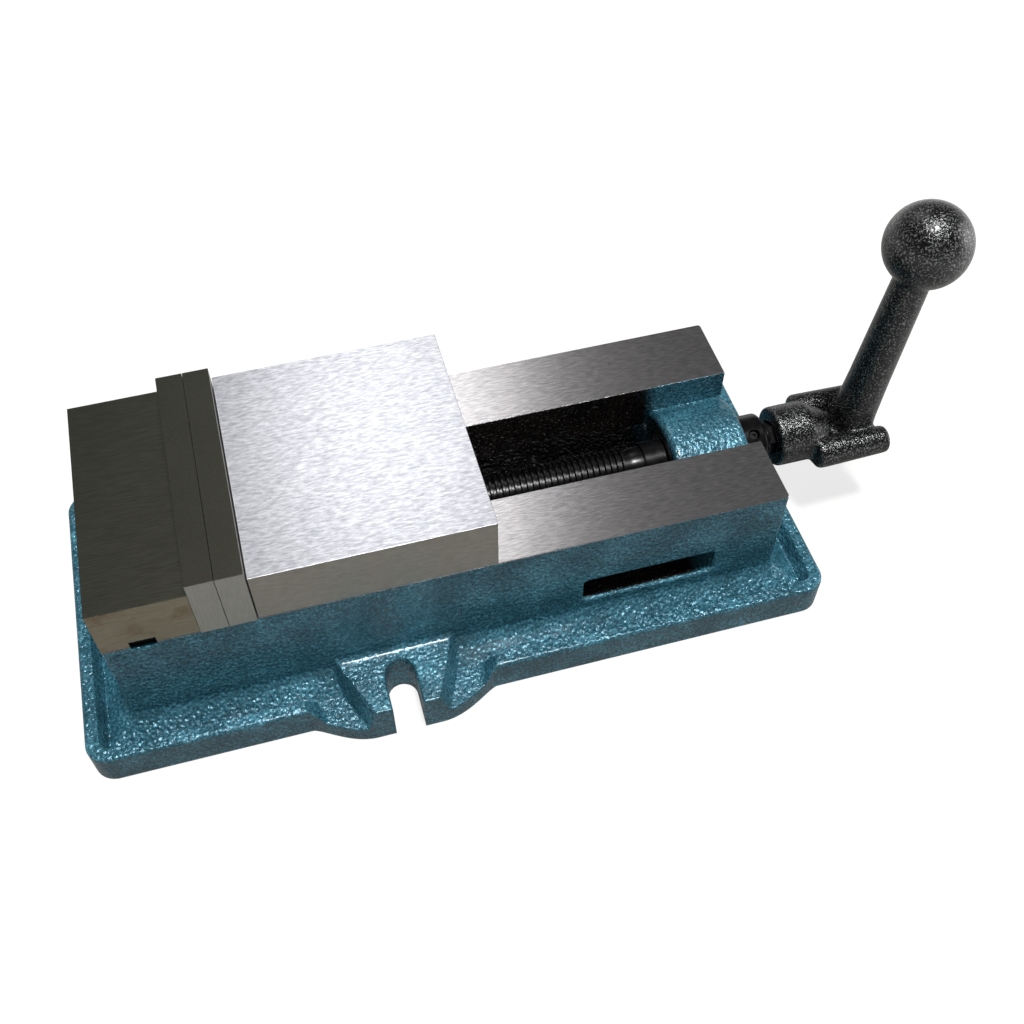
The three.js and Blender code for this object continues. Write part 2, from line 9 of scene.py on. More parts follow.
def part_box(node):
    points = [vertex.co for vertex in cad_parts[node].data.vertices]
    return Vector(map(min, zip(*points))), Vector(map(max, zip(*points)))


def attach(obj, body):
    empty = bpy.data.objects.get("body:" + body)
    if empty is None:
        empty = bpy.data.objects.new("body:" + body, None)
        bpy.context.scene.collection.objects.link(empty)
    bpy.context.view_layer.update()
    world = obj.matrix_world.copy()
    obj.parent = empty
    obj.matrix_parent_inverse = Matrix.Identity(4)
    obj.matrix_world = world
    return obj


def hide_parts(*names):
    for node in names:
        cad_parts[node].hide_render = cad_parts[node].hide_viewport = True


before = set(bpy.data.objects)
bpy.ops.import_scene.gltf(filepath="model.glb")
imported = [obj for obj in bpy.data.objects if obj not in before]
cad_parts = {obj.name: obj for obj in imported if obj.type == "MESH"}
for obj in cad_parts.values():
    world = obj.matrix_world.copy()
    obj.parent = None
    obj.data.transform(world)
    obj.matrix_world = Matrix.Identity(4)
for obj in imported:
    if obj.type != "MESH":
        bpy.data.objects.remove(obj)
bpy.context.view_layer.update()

# ---------------------------------------------------------------- the casting
# One grey-iron casting: a hollow bed with two rails, a lipped flange round it, and a clamp lug on each side.
# It is sprayed with blue-green hammertone enamel, and the rail tops are then ground to bare iron.
# The CAD model holds it as five solids, because collision needs simple shapes; here it is one skin.


def box_mm(node):
    """The lowest and highest corner of a CAD node, in millimetres."""
    low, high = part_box(node)
    return np.array(low) * 1000, np.array(high) * 1000


bed_low, bed_high = box_mm("bed_casting")
flange_low = np.array([box_mm("flange_fixed_end")[0][0], box_mm("flange_crank_end")[0][1]])
flange_high = np.array([box_mm("flange_crank_end")[1][0], box_mm("flange_crank_end")[1][1]])
lug_face = box_mm("clamp_lug_back")[1][1]
rail_top = bed_high[2]
bed_half = bed_high[1]
over = 1.0  # how far a cutter runs past what it cuts
bed_corner = 2.0
flange_corner = 14.0
lip_height = 24.8
lip_width = 8.5
lip_foot = 12.0  # from the outer edge to where the drafted inner side of the lip meets the gutter
gutter_low = 13.0
gutter_high = 24.0
pad_height = 31.0
pad_half_at_face = 19.3
pad_half_at_bed = 37.0
pad_draft = 5.0
pad_slant = 0.924  # cosine of the pad's side edges to the bed
pad_root = 2.0  # the pad's side edges start this far inside the bed wall
pad_foot = 6.7  # the pad's drafted side, measured along the bed
lug_half_flat = 20.0
lug_half_foot = 58.0
lip_end = 59.5
lip_end_slope = 8.0
wall_fillet = 4.0
gutter_fillet = 2.0
pad_fillet = 2.2
lip_round = 1.4
lip_end_round = 1.6
lip_end_pull = 2.2  # the lip's end leans back this much towards its outer edge
pad_round = 1.1
edge_round = 2.4
lug_edge_round = 1.2
lug_edge_end = 60.0
lug_edge_fade = 8.0


def inside_rounded(x, y, low, high, radius):
    """How far a point lies inside a round-cornered rectangle; negative outside it."""
    across = np.maximum(low[0] + radius - x, x - high[0] + radius)
    along = np.maximum(low[1] + radius - y, y - high[1] + radius)
    corner = np.hypot(np.maximum(across, 0), np.maximum(along, 0))
    return radius - corner - np.minimum(np.maximum(across, along), 0)


def smooth_low(a, b, width):
    """The lower of two heights, with a rounded changeover."""
    share = np.clip(0.5 + 0.5 * (b - a) / width, 0, 1)
    return b + (a - b) * share - width * share * (1 - share)


def smooth_high(a, b, width):
    """The higher of two heights, with a rounded changeover."""
    return -smooth_low(-a, -b, width)


def rounding(distance, radius):
    """How far a quarter-round edge has dropped at a distance in from its outer side."""
    left = np.clip(radius - distance, 0, radius)
    return radius - np.sqrt(np.maximum(radius**2 - left**2, 0))


def flange_height(x, y, from_edge):
    """The upper surface of the flange, its gutter and its lugs."""
    rim = inside_rounded(x, y, flange_low, flange_high, flange_corner)
    wall = np.maximum(-inside_rounded(x, y, bed_low, bed_high, bed_corner), 0)
    width = np.maximum(rim - lip_foot + wall, 1)
    gutter = gutter_low + (gutter_high - gutter_low) * np.clip((rim - lip_foot) / width, 0, 1)
    fall = lip_height - gutter_low
    lip = smooth_low(lip_height, lip_height - (rim - lip_width) * fall / (lip_foot - lip_width), lip_round)
    ends_at = lip_end - lip_end_pull * np.clip(1 - rim / lip_width, 0, 1)
    by_lug = lip_height - (ends_at - np.abs(x)) * fall / lip_end_slope
    beside_bed = np.abs(y) > bed_half - 1
    lip = np.where(beside_bed, smooth_low(lip, by_lug, lip_end_round), lip)
    height = smooth_high(gutter, lip, gutter_fillet)
    from_bed = (np.abs(y) - bed_half + pad_root) / (lug_face - bed_half + pad_root)
    half = pad_half_at_bed + (pad_half_at_face - pad_half_at_bed) * from_bed
    side = (np.abs(x) - half) * pad_slant
    pad = smooth_low(pad_height, pad_height - side * (pad_height - gutter_low) / pad_draft, pad_round)
    height = smooth_high(height, np.where(beside_bed, pad, 0), pad_fillet)
    near_lug = np.where(beside_bed, np.clip((lug_edge_end - np.abs(x)) / lug_edge_fade, 0, 1), 0)
    edge = edge_round - (edge_round - lug_edge_round) * near_lug
    return height + rounding(wall, wall_fillet) - rounding(from_edge, edge)


def lug_bulge(x):
    """How far the flange's outline stands out at a clamp lug."""
    share = np.clip((np.abs(x) - lug_half_flat) / (lug_half_foot - lug_half_flat), 0, 1)
    return (lug_face - flange_high[1]) * (1 - share**2) ** 1.4


# Stations along one long side, as places on the outer edge and, fanned to follow the pad, on the bed wall.
# They are close together where the lug's outline, pad and lip ends turn.
fan_end = 62.0
past_flange = 400.0
fine = np.concatenate([
    np.arange(0, 17, 1.5),
    [17.8, 18.5, 18.9, 19.1, 19.3, 19.6, 20, 20.6, 21.4, 22.2, 23, 23.8, 24.4, 24.9, 25.4, 26, 26.8],
    np.arange(28, 50.5, 1.5),
    np.arange(50.8, 61.5, 0.6),
])
inner_left, inner_right = bed_low[0] + bed_corner, bed_high[0] - bed_corner
on_edge = np.concatenate([
    np.linspace(inner_left, -fan_end, 32),
    -fine[:0:-1],
    fine,
    np.linspace(fan_end, inner_right, 62),
])
fan = np.interp(
    np.abs(on_edge),
    [0, pad_half_at_face, pad_half_at_face + pad_foot, fan_end, past_flange],
    [0, pad_half_at_bed, pad_half_at_bed + pad_foot, fan_end, past_flange],
)
on_wall = np.sign(on_edge) * fan

inner, outer, facing = [], [], []
corner_steps = 40
halvings = 40  # steps of a search by halving


def add_station(at_wall, at_edge, away):
    """One station: its place on the bed wall, on the outer edge, and the way it faces."""
    inner.append(at_wall)
    outer.append(at_edge)
    facing.append(away)


def add_corner(cx, cy, start):
    """Stations that turn a quarter circle about one corner of the bed."""
    for k in range(1, corner_steps):
        turn = start + math.pi / 2 * k / corner_steps
        away = np.array([math.cos(turn), math.sin(turn)])
        near, far = 0.0, past_flange
        for _ in range(halvings):
            middle = (near + far) / 2
            x, y = cx + middle * away[0], cy + middle * away[1]
            if inside_rounded(x, y, flange_low, flange_high, flange_corner) > 0:
                near = middle
            else:
                far = middle
        centre = np.array([cx, cy])
        add_station(centre + bed_corner * away, centre + near * away, away)


inner_half = bed_half - bed_corner
end_steps = np.linspace(-inner_half, inner_half, 52)
for wall_x, edge_x in zip(on_wall, on_edge):
    edge_y = flange_high[1] + lug_bulge(edge_x)
    add_station(np.array([wall_x, -bed_half]), np.array([edge_x, -edge_y]), np.array([0, -1]))
add_corner(inner_right, -inner_half, -math.pi / 2)
for y in end_steps:
    add_station(np.array([bed_high[0], y]), np.array([flange_high[0], y]), np.array([1, 0]))
add_corner(inner_right, inner_half, 0)
for wall_x, edge_x in zip(on_wall[::-1], on_edge[::-1]):
    edge_y = flange_high[1] + lug_bulge(edge_x)
    add_station(np.array([wall_x, bed_half]), np.array([edge_x, edge_y]), np.array([0, 1]))
add_corner(inner_left, inner_half, math.pi / 2)
for y in end_steps[::-1]:
    add_station(np.array([bed_low[0], y]), np.array([flange_low[0], y]), np.array([-1, 0]))
add_corner(inner_left, -inner_half, math.pi)
inner, outer, facing = np.array(inner), np.array(outer), np.array(facing, float)
reach = np.linalg.norm(outer - inner, axis=1)


def share_where_rim(depth):
    """For every station, how far out the flange's outline is a given depth away."""
    near, far = np.zeros(len(inner)), np.ones(len(inner))
    for _ in range(halvings):
        middle = (near + far) / 2
        at = inner + middle[:, None] * (outer - inner)
        deeper = inside_rounded(at[:, 0], at[:, 1], flange_low, flange_high, flange_corner) > depth
        near, far = np.where(deeper, middle, near), np.where(deeper, far, middle)
    return near


by_wall = [w / reach for w in (0, 0.12, 0.35, 0.7, 1.2, 1.9, 2.8, 4)]
by_lip = [
    share_where_rim(d)
    for d in (15.5, 14, 13.2, 12.6, 12, 11.4, 10.8, 10, 9.3, 8.9, 8.5, 8.1, 7.6, 6.8, 5.5, 4.2, 3.2)
]
by_edge = [1 - e / reach for e in (2.6, 2.1, 1.6, 1.15, 0.75, 0.4, 0.15, 0)]
floor_steps = [by_wall[-1] + (by_lip[0] - by_wall[-1]) * s for s in (0.33, 0.66)]
lug_steps = [by_lip[-1] + (by_edge[0] - by_lip[-1]) * s for s in (0.25, 0.5, 0.75)]
shares = by_wall + floor_steps + by_lip + lug_steps + by_edge


def unevenness(x, y, length, height, layer):
    """The slow unevenness of a sand casting, by the length and height of its waves."""
    return noise.noise(Vector((x / length, y / length, layer))) * height


rows = []
for share in shares:
    at = inner + share[:, None] * (outer - inner)
    height = flange_height(at[:, 0], at[:, 1], (1 - share) * reach)
    sand = [unevenness(x, y, 16, 0.22, 3) for x, y in at]
    rows.append(np.column_stack([at, height + sand]))
wall_foot = rows[0][:, 2]
edge_top = rows[-1][:, 2]
top_chamfer = 0.4
wall_rows = [np.column_stack([inner - facing * top_chamfer, np.full(len(inner), rail_top)])]
for height in (rail_top - top_chamfer, rail_top - 2, 70):
    wall_rows.append(np.column_stack([inner, np.full(len(inner), height)]))
wall_rows.append(np.column_stack([inner, wall_foot + 3]))
foot_chamfer = 0.8
inward = (inner - outer) / reach[:, None]
edge_rows = [
    np.column_stack([outer, edge_top - 0.5]),
    np.column_stack([outer, np.full(len(outer), 6.0)]),
    np.column_stack([outer, np.full(len(outer), foot_chamfer)]),
    np.column_stack([outer + inward * foot_chamfer, np.zeros(len(outer))]),
]


def stacked(name, rings, ring_of_rings=False):
    """A closed skin over rings of points in millimetres, one after another."""
    rings = [np.asarray(r, float) for r in rings]
    count, around = len(rings), len(rings[0])
    faces = []
    for i in range(count if ring_of_rings else count - 1):
        a, b = i * around, (i + 1) % count * around
        following = [(j + 1) % around for j in range(around)]
        faces += [(a + j, a + k, b + k, b + j) for j, k in enumerate(following)]
    if not ring_of_rings:
        faces += [tuple(range(around)), tuple(range((count - 1) * around, count * around))]
    mesh = bpy.data.meshes.new(name)
    mesh.from_pydata((np.concatenate(rings) / 1000).tolist(), [], faces)
    shell = bmesh.new()
    shell.from_mesh(mesh)
    bmesh.ops.remove_doubles(shell, verts=shell.verts, dist=1e-7)
    bmesh.ops.recalc_face_normals(shell, faces=shell.faces)
    shell.to_mesh(mesh)
    shell.free()
    piece = bpy.data.objects.new(name, mesh)
    bpy.context.scene.collection.objects.link(piece)
    return piece


def settle(piece):
    """Works a piece's modifiers into its mesh."""
    bpy.context.view_layer.update()
    seen = piece.evaluated_get(bpy.context.evaluated_depsgraph_get())
    made, before = bpy.data.meshes.new_from_object(seen), piece.data
    piece.modifiers.clear()
    piece.data = made
    bpy.data.meshes.remove(before)


def combine(piece, operation, *others):
    """Cuts or joins other closed skins into a piece, and uses them up."""
    for other in others:
        step = piece.modifiers.new("combine", "BOOLEAN")
        step.solver = "MANIFOLD"
        step.operation = operation
        step.object = other
    settle(piece)
    for other in others:
        bpy.data.objects.remove(other)


def crisp(piece, degrees=35):
    """Smooth shading with sharp corners, and flat faces that stay flat to the eye."""
    piece.data.shade_smooth()
    piece.data.set_sharp_from_angle(angle=math.radians(degrees))
    weighted = piece.modifiers.new("flats", "WEIGHTED_NORMAL")
    weighted.keep_sharp = True
    settle(piece)


casting = stacked("casting", wall_rows + rows + edge_rows)

# The channel between the rails, and the chamber under them that holds the nut down.
channel_half = 30.2
chamber_half = 38.2
chamber_left = -102.0
chamber_past_boss = 10.0
boss_left = 198.0
floor_top = 14.0
ledge = 62.0
rail_chamfer = 0.7


def profile_yz(x, points):
    """A ring of points across the bed, at one place along it."""
    return [(x, y, z) for y, z in points]


def block(name, low, high):
    """A plain cutter or stock block between two corners."""
    ring = [(low[1], low[2]), (high[1], low[2]), (high[1], high[2]), (low[1], high[2])]
    return stacked(name, [profile_yz(low[0], ring), profile_yz(high[0], ring)])


channel_ring = [
    (-channel_half, floor_top),
    (channel_half, floor_top),
    (channel_half, rail_top - rail_chamfer),
    (channel_half + rail_chamfer + over, rail_top + over),
    (-channel_half - rail_chamfer - over, rail_top + over),
    (-channel_half, rail_top - rail_chamfer),
]
channel = stacked("channel", [profile_yz(chamber_left, channel_ring), profile_yz(boss_left, channel_ring)])
chamber = block("chamber", (chamber_left, -chamber_half, floor_top), (boss_left, chamber_half, ledge))
beside_boss = [
    block("beside_boss", (boss_left - over, a, floor_top), (boss_left + chamber_past_boss, b, ledge))
    for a, b in ((-chamber_half, -channel_half), (channel_half, chamber_half))
]

# The space over the boss: a barrel vault with fillets up to the rails and rounded ends.
crown_height = 84.0
crown_radius = 42.0
vault_fillet = 5.0
boss_round = 4.5
boss_outer_round = 3.0
across = np.linspace(-channel_half, channel_half, 61)
vault = crown_height - crown_radius + np.sqrt(crown_radius**2 - across**2)
vault = vault + rounding(channel_half - np.abs(across), vault_fillet)
boss_steps = np.concatenate([
    [boss_left - 8, boss_left, boss_left + 0.15, boss_left + 0.5, boss_left + 1.1, boss_left + 2],
    [boss_left + 3.2, boss_left + 4.5],
    np.linspace(boss_left + 8, bed_high[0] - 6, 8),
    bed_high[0] - np.array([3, 2.1, 1.3, 0.6, 0.15, 0, -2]),
])
vault_rings = []
for x in boss_steps:
    drop = rounding(max(x - boss_left, 0), boss_round)
    drop += rounding(max(bed_high[0] - x, 0), boss_outer_round)
    rough = [unevenness(x, y, 5, 0.35, 9) for y in across]
    ring = list(zip(across, vault - drop + rough))
    vault_rings.append(profile_yz(x, ring + channel_ring[2:]))
over_boss = stacked("over_boss", vault_rings)

# The bores for the screw and its bearing, turned about the screw's axis.
screw_low, screw_high = box_mm("lead_screw")
screw_z = box_mm("thrust_collar")[0][2] / 2 + box_mm("thrust_collar")[1][2] / 2
ALONG_X = (Vector((1, 0, 0)), Vector((0, 1, 0)), Vector((0, 0, 1)))
UPRIGHT = (Vector((0, 0, 1)), Vector((1, 0, 0)), Vector((0, 1, 0)))


def turned(name, profile, centre=(0, 0, screw_z), frame_axes=ALONG_X, sides=96, hollow=False, turn=0.0):
    """A turned shape: a profile of (place along the axis, radius) swept round it."""
    axis, u, v = (np.array(a) for a in frame_axes)
    angles = turn + np.arange(sides) * 2 * math.pi / sides
    circle = np.cos(angles)[:, None] * u + np.sin(angles)[:, None] * v
    rings = [np.array(centre) + axis * along + circle * radius for along, radius in profile]
    return stacked(name, rings, ring_of_rings=hollow)


def plain_rod(name, start, end, radius, **where):
    """A rod with square ends."""
    return turned(name, [(start, radius), (end, radius)], **where)


shank_radius = 12.0
shank_clearance = 0.7
bearing_radius = 21.0
bearing_clearance = 0.6
bearing_pocket = 11.0
screw_bore = plain_rod("screw_bore", boss_left - over, bed_high[0] + over, shank_radius + shank_clearance)
bearing_bore = plain_rod(
    "bearing_bore", boss_left - over, boss_left + bearing_pocket, bearing_radius + bearing_clearance,
)

# The open clamp slots, with a rounded upper edge: at each depth under the pad, the slot is wider by the second
# number.
slot_radius = 9.2
slot_centre = 93.8
past_lug = lug_face + 6
slots = []
for side in (-1, 1):
    rings = []
    for depth, extra in ((pad_height + over, 0), (2.1, 0), (1.3, 0.12), (0.6, 0.45), (0, 1.2), (-2, 3.4)):
        z = pad_height - depth
        radius = slot_radius + extra
        arc = [math.pi * k / 32 for k in range(33)]
        ring = [(radius * math.cos(a), side * (slot_centre - radius * math.sin(a)), z) for a in arc]
        ring += [(-radius, side * past_lug, z), (radius, side * past_lug, z)]
        rings.append(ring)
    slots.append(stacked("slot", rings))

# The chip windows, cored through the bed walls, with outer edges rounded in the same way.
window_corner = 4.0
window_left, window_right = 121.0 + window_corner, 206.6 - window_corner
window_bottom, window_top = 34.0 + window_corner, 55.0 - window_corner
arc_steps = 8
window_depth = bed_half - chamber_half + over
windows = []
for side in (-1, 1):
    rings = []
    for depth, extra in ((window_depth, 0), (1.6, 0), (1, 0.1), (0.5, 0.4), (0, 1.1), (-1.4, 2.6)):
        y = bed_half - depth
        ring = []
        corner = window_corner + extra
        for k, (cx, cz) in enumerate((
            (window_right, window_top), (window_left, window_top),
            (window_left, window_bottom), (window_right, window_bottom),
        )):
            for step in range(arc_steps + 1):
                turn = math.pi / 2 * (k + step / arc_steps)
                ring.append((cx + corner * math.cos(turn), side * y, cz + corner * math.sin(turn)))
        rings.append(ring)
    windows.append(stacked("window", rings))

# The key slot across the fixed end, and the counterbores of the jaw bolts.
fit = 0.3
bolt_seat = 56.0
counterbore_radius = 13.0
bolt_hole_radius = 8.6
key_low, key_high = box_mm("fixed_jaw_key")
key_slot = block(
    "key_slot",
    (key_low[0] - fit, -bed_half - over, key_low[2] - fit),
    (key_high[0] + fit, bed_half + over, rail_top + over),
)
bolt_holes = []
for node in ("fixed_jaw_bolt_front", "fixed_jaw_bolt_back"):
    low, high = box_mm(node)
    where = {"centre": ((low[0] + high[0]) / 2, (low[1] + high[1]) / 2, 0), "frame_axes": UPRIGHT}
    bolt_holes.append(plain_rod("counterbore", -over, bolt_seat, counterbore_radius, **where))
    bolt_holes.append(plain_rod("bolt_hole", bolt_seat - over, rail_top + over, bolt_hole_radius, **where))

combine(
    casting, "DIFFERENCE", channel, chamber, *beside_boss, over_boss, screw_bore, bearing_bore,
    *slots, *windows, key_slot, *bolt_holes,
)
crisp(casting, 32)


def srgb(code):
    """A hex sRGB colour as linear RGBA."""
    parts = [int(code[i : i + 2], 16) / 255 for i in (1, 3, 5)]
    return (*[p / 12.92 if p <= 0.04045 else ((p + 0.055) / 1.055) ** 2.4 for p in parts], 1)


def feed(tree, node, inputs):
    """Links every input that is given a socket, and sets the others."""
    for key, value in inputs.items():
        if isinstance(value, bpy.types.NodeSocket):
            tree.links.new(value, node.inputs[key])
        else:
            node.inputs[key].default_value = value


def add(tree, kind, settings=None, inputs=None, stops=None):
    """Adds a node with its settings and inputs; stops, as (place, colour), are for a colour ramp."""
    made = tree.nodes.new(kind)
    for key, value in (settings or {}).items():
        setattr(made, key, value)
    feed(tree, made, inputs or {})
    for k, (place, colour) in enumerate(stops or ()):
        stop = made.color_ramp.elements[k] if k < 2 else made.color_ramp.elements.new(place)
        stop.position = place
        stop.color = srgb(colour)
    return made


def new_material(name):
    """An empty material, with its tree, its one shader, and the object coordinates."""
    material = bpy.data.materials.new(name)
    material.use_nodes = True
    tree = material.node_tree
    tree.nodes.clear()
    shader = add(tree, "ShaderNodeBsdfPrincipled")
    add(tree, "ShaderNodeOutputMaterial", inputs={"Surface": shader.outputs["BSDF"]})
    return material, tree, shader, add(tree, "ShaderNodeTexCoord").outputs["Object"]


# Hammertone enamel on cast iron: blue-green paint with metal flake, pulled into shallow warts 2 to 3 mm wide, so
# that it is dark in shade and glitters where the light strikes it. Inside the bed, between the rails and ahead
# of the boss, the colour is painted nearly black as painted shade. Where the grinder has passed, on the rail
# tops, the iron is bare, with fine lines.
enamel, tree, shader, place = new_material("hammertone_enamel_with_ground_rails")
flake = add(
    tree, "ShaderNodeTexNoise", inputs={"Vector": place, "Scale": 620.0, "Detail": 3.0, "Roughness": 0.6},
)
drift = add(tree, "ShaderNodeTexNoise", inputs={"Vector": place, "Scale": 330.0, "Detail": 2.0})
warped = add(tree, "ShaderNodeMix", {"data_type": "VECTOR"}, {0: 0.0013, 4: place, 5: drift.outputs["Color"]})
warts = add(
    tree, "ShaderNodeTexVoronoi", {"feature": "SMOOTH_F1"},
    {"Vector": warped.outputs[1], "Scale": 390.0, "Smoothness": 0.7},
)
pools = add(tree, "ShaderNodeTexNoise", inputs={"Vector": place, "Scale": 38.0, "Detail": 4.0})
mottled = add(
    tree, "ShaderNodeMath", {"operation": "MULTIPLY_ADD"},
    {0: pools.outputs["Fac"], 1: 0.5, 2: flake.outputs["Fac"]},
)
paint_colour = add(
    tree, "ShaderNodeValToRGB", inputs={"Fac": mottled.outputs["Value"]},
    stops=[(0.45, "#153841"), (1.0, "#5d9fb3"), (0.75, "#316273")],
)
where = add(tree, "ShaderNodeSeparateXYZ", inputs={"Vector": place})
bare = add(
    tree, "ShaderNodeMapRange",
    inputs={
        "Value": where.outputs["Z"], "From Min": (rail_top - 0.6) / 1000, "From Max": (rail_top - 0.3) / 1000,
    },
)
# Painted shade: inside the bed walls, from the fixed end up to the boss, the paint is swapped for near-black
# where shade falls in the channel and the windows.
aside = add(tree, "ShaderNodeMath", {"operation": "ABSOLUTE"}, {0: where.outputs["Y"]})
painted_shade_across = add(
    tree, "ShaderNodeMapRange",
    inputs={
        "Value": aside.outputs["Value"], "To Min": 1.0, "To Max": 0.0,
        "From Min": (bed_half - 2.7) / 1000, "From Max": (bed_half - 1.7) / 1000,
    },
)
before_boss = add(
    tree, "ShaderNodeMapRange",
    inputs={
        "Value": where.outputs["X"], "To Min": 1.0, "To Max": 0.0,
        "From Min": (boss_left - 4) / 1000, "From Max": (boss_left + 4) / 1000,
    },
)
past_end = add(
    tree, "ShaderNodeMapRange",
    inputs={
        "Value": where.outputs["X"],
        "From Min": (bed_low[0] + 4.5) / 1000, "From Max": (bed_low[0] + 5.5) / 1000,
    },
)
painted_shade_along = add(
    tree, "ShaderNodeMath", {"operation": "MULTIPLY"},
    {0: before_boss.outputs["Result"], 1: past_end.outputs["Result"]},
)
painted_shade_inside = add(
    tree, "ShaderNodeMath", {"operation": "MULTIPLY"},
    {0: painted_shade_across.outputs["Result"], 1: painted_shade_along.outputs["Value"]},
)
painted_shade_colour = add(
    tree, "ShaderNodeValToRGB", inputs={"Fac": pools.outputs["Fac"]},
    stops=[(0.35, "#0c0b0a"), (0.65, "#1d1613")],
)
paint_with_painted_shade = add(
    tree, "ShaderNodeMix", {"data_type": "RGBA"},
    {0: painted_shade_inside.outputs["Value"], 6: paint_colour.outputs["Color"], 7: painted_shade_colour.outputs["Color"]},
)
stretch = add(tree, "ShaderNodeMapping", inputs={"Vector": place, "Scale": (170.0, 1300.0, 1300.0)})
lines = add(
    tree, "ShaderNodeTexNoise", inputs={"Vector": stretch.outputs["Vector"], "Scale": 1.0, "Detail": 3.0},
)
iron_colour = add(
    tree, "ShaderNodeValToRGB", inputs={"Fac": lines.outputs["Fac"]},
    stops=[(0.3, "#9b999a"), (0.7, "#c9c6c8")],
)
colour = add(
    tree, "ShaderNodeMix", {"data_type": "RGBA"},
    {0: bare.outputs["Result"], 6: paint_with_painted_shade.outputs[2], 7: iron_colour.outputs["Color"]},
)
metal = add(
    tree, "ShaderNodeMapRange", inputs={"Value": bare.outputs["Result"], "To Min": 0.25, "To Max": 1.0},
)
paint_gloss = add(
    tree, "ShaderNodeMapRange",
    inputs={"Value": flake.outputs["Fac"], "From Min": 0.3, "From Max": 0.7, "To Min": 0.2, "To Max": 0.32},
)
gloss = add(
    tree, "ShaderNodeMix", {"data_type": "FLOAT"},
    {0: bare.outputs["Result"], 2: paint_gloss.outputs["Result"], 3: 0.25},
)
coat = add(
    tree, "ShaderNodeMapRange", inputs={"Value": bare.outputs["Result"], "To Min": 0.35, "To Max": 0.0},
)
wart_height = add(
    tree, "ShaderNodeMath", {"operation": "MULTIPLY_ADD"},
    {0: flake.outputs["Fac"], 1: 0.35, 2: warts.outputs["Distance"]},
)
relief = add(
    tree, "ShaderNodeMix", {"data_type": "FLOAT"},
    {0: bare.outputs["Result"], 2: wart_height.outputs["Value"], 3: lines.outputs["Fac"]},
)
strength = add(
    tree, "ShaderNodeMapRange", inputs={"Value": bare.outputs["Result"], "To Min": 0.9, "To Max": 0.006},
)
bump = add(
    tree, "ShaderNodeBump",
    inputs={"Strength": strength.outputs["Result"], "Distance": 0.001, "Height": relief.outputs[0]},
)
feed(tree, shader, {
    "Base Color": colour.outputs[2], "Metallic": metal.outputs["Result"], "Roughness": gloss.outputs[0],
    "Coat Weight": coat.outputs["Result"], "Coat Roughness": 0.14, "Normal": bump.outputs["Normal"],
})


def dress(piece, material, body, slot, *nodes):
    """Gives a piece its material, the body it moves with and the CAD nodes it stands for; its slot is not used.
    """
    piece.data.materials.clear()
    piece.data.materials.append(material)
    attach(piece, body)
    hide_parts(*nodes)


dress(
    casting, enamel, "base", "hammertone_casting",
    "bed_casting", "clamp_lug_front", "clamp_lug_back", "flange_fixed_end", "flange_crank_end",
)

# ---------------------------------------------------------------- fixed jaw and jaw plates
# Blocks of tool steel, ground square on every face, their edges broken with a stone. The fixed jaw stands on
# the bed, and a plate is screwed to each jaw. Their tops are painted dark as painted shade, for the dim room
# they mirror, and their sides lighter.


def from_cad(name, node, edge):
    """A CAD node's own shape with its edges broken."""
    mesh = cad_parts[node].data.copy()
    mesh.name = name
    shell = bmesh.new()
    shell.from_mesh(mesh)
    bmesh.ops.remove_doubles(shell, verts=shell.verts, dist=2e-6)
    bmesh.ops.dissolve_limit(shell, angle_limit=math.radians(0.5), verts=shell.verts, edges=shell.edges)
    shell.to_mesh(mesh)
    shell.free()
    mesh.materials.clear()
    piece = bpy.data.objects.new(name, mesh)
    bpy.context.scene.collection.objects.link(piece)
    bevel = piece.modifiers.new("edges", "BEVEL")
    bevel.width = edge / 1000
    bevel.segments = 3
    bevel.angle_limit = math.radians(40)
    settle(piece)
    crisp(piece, 30)
    return piece


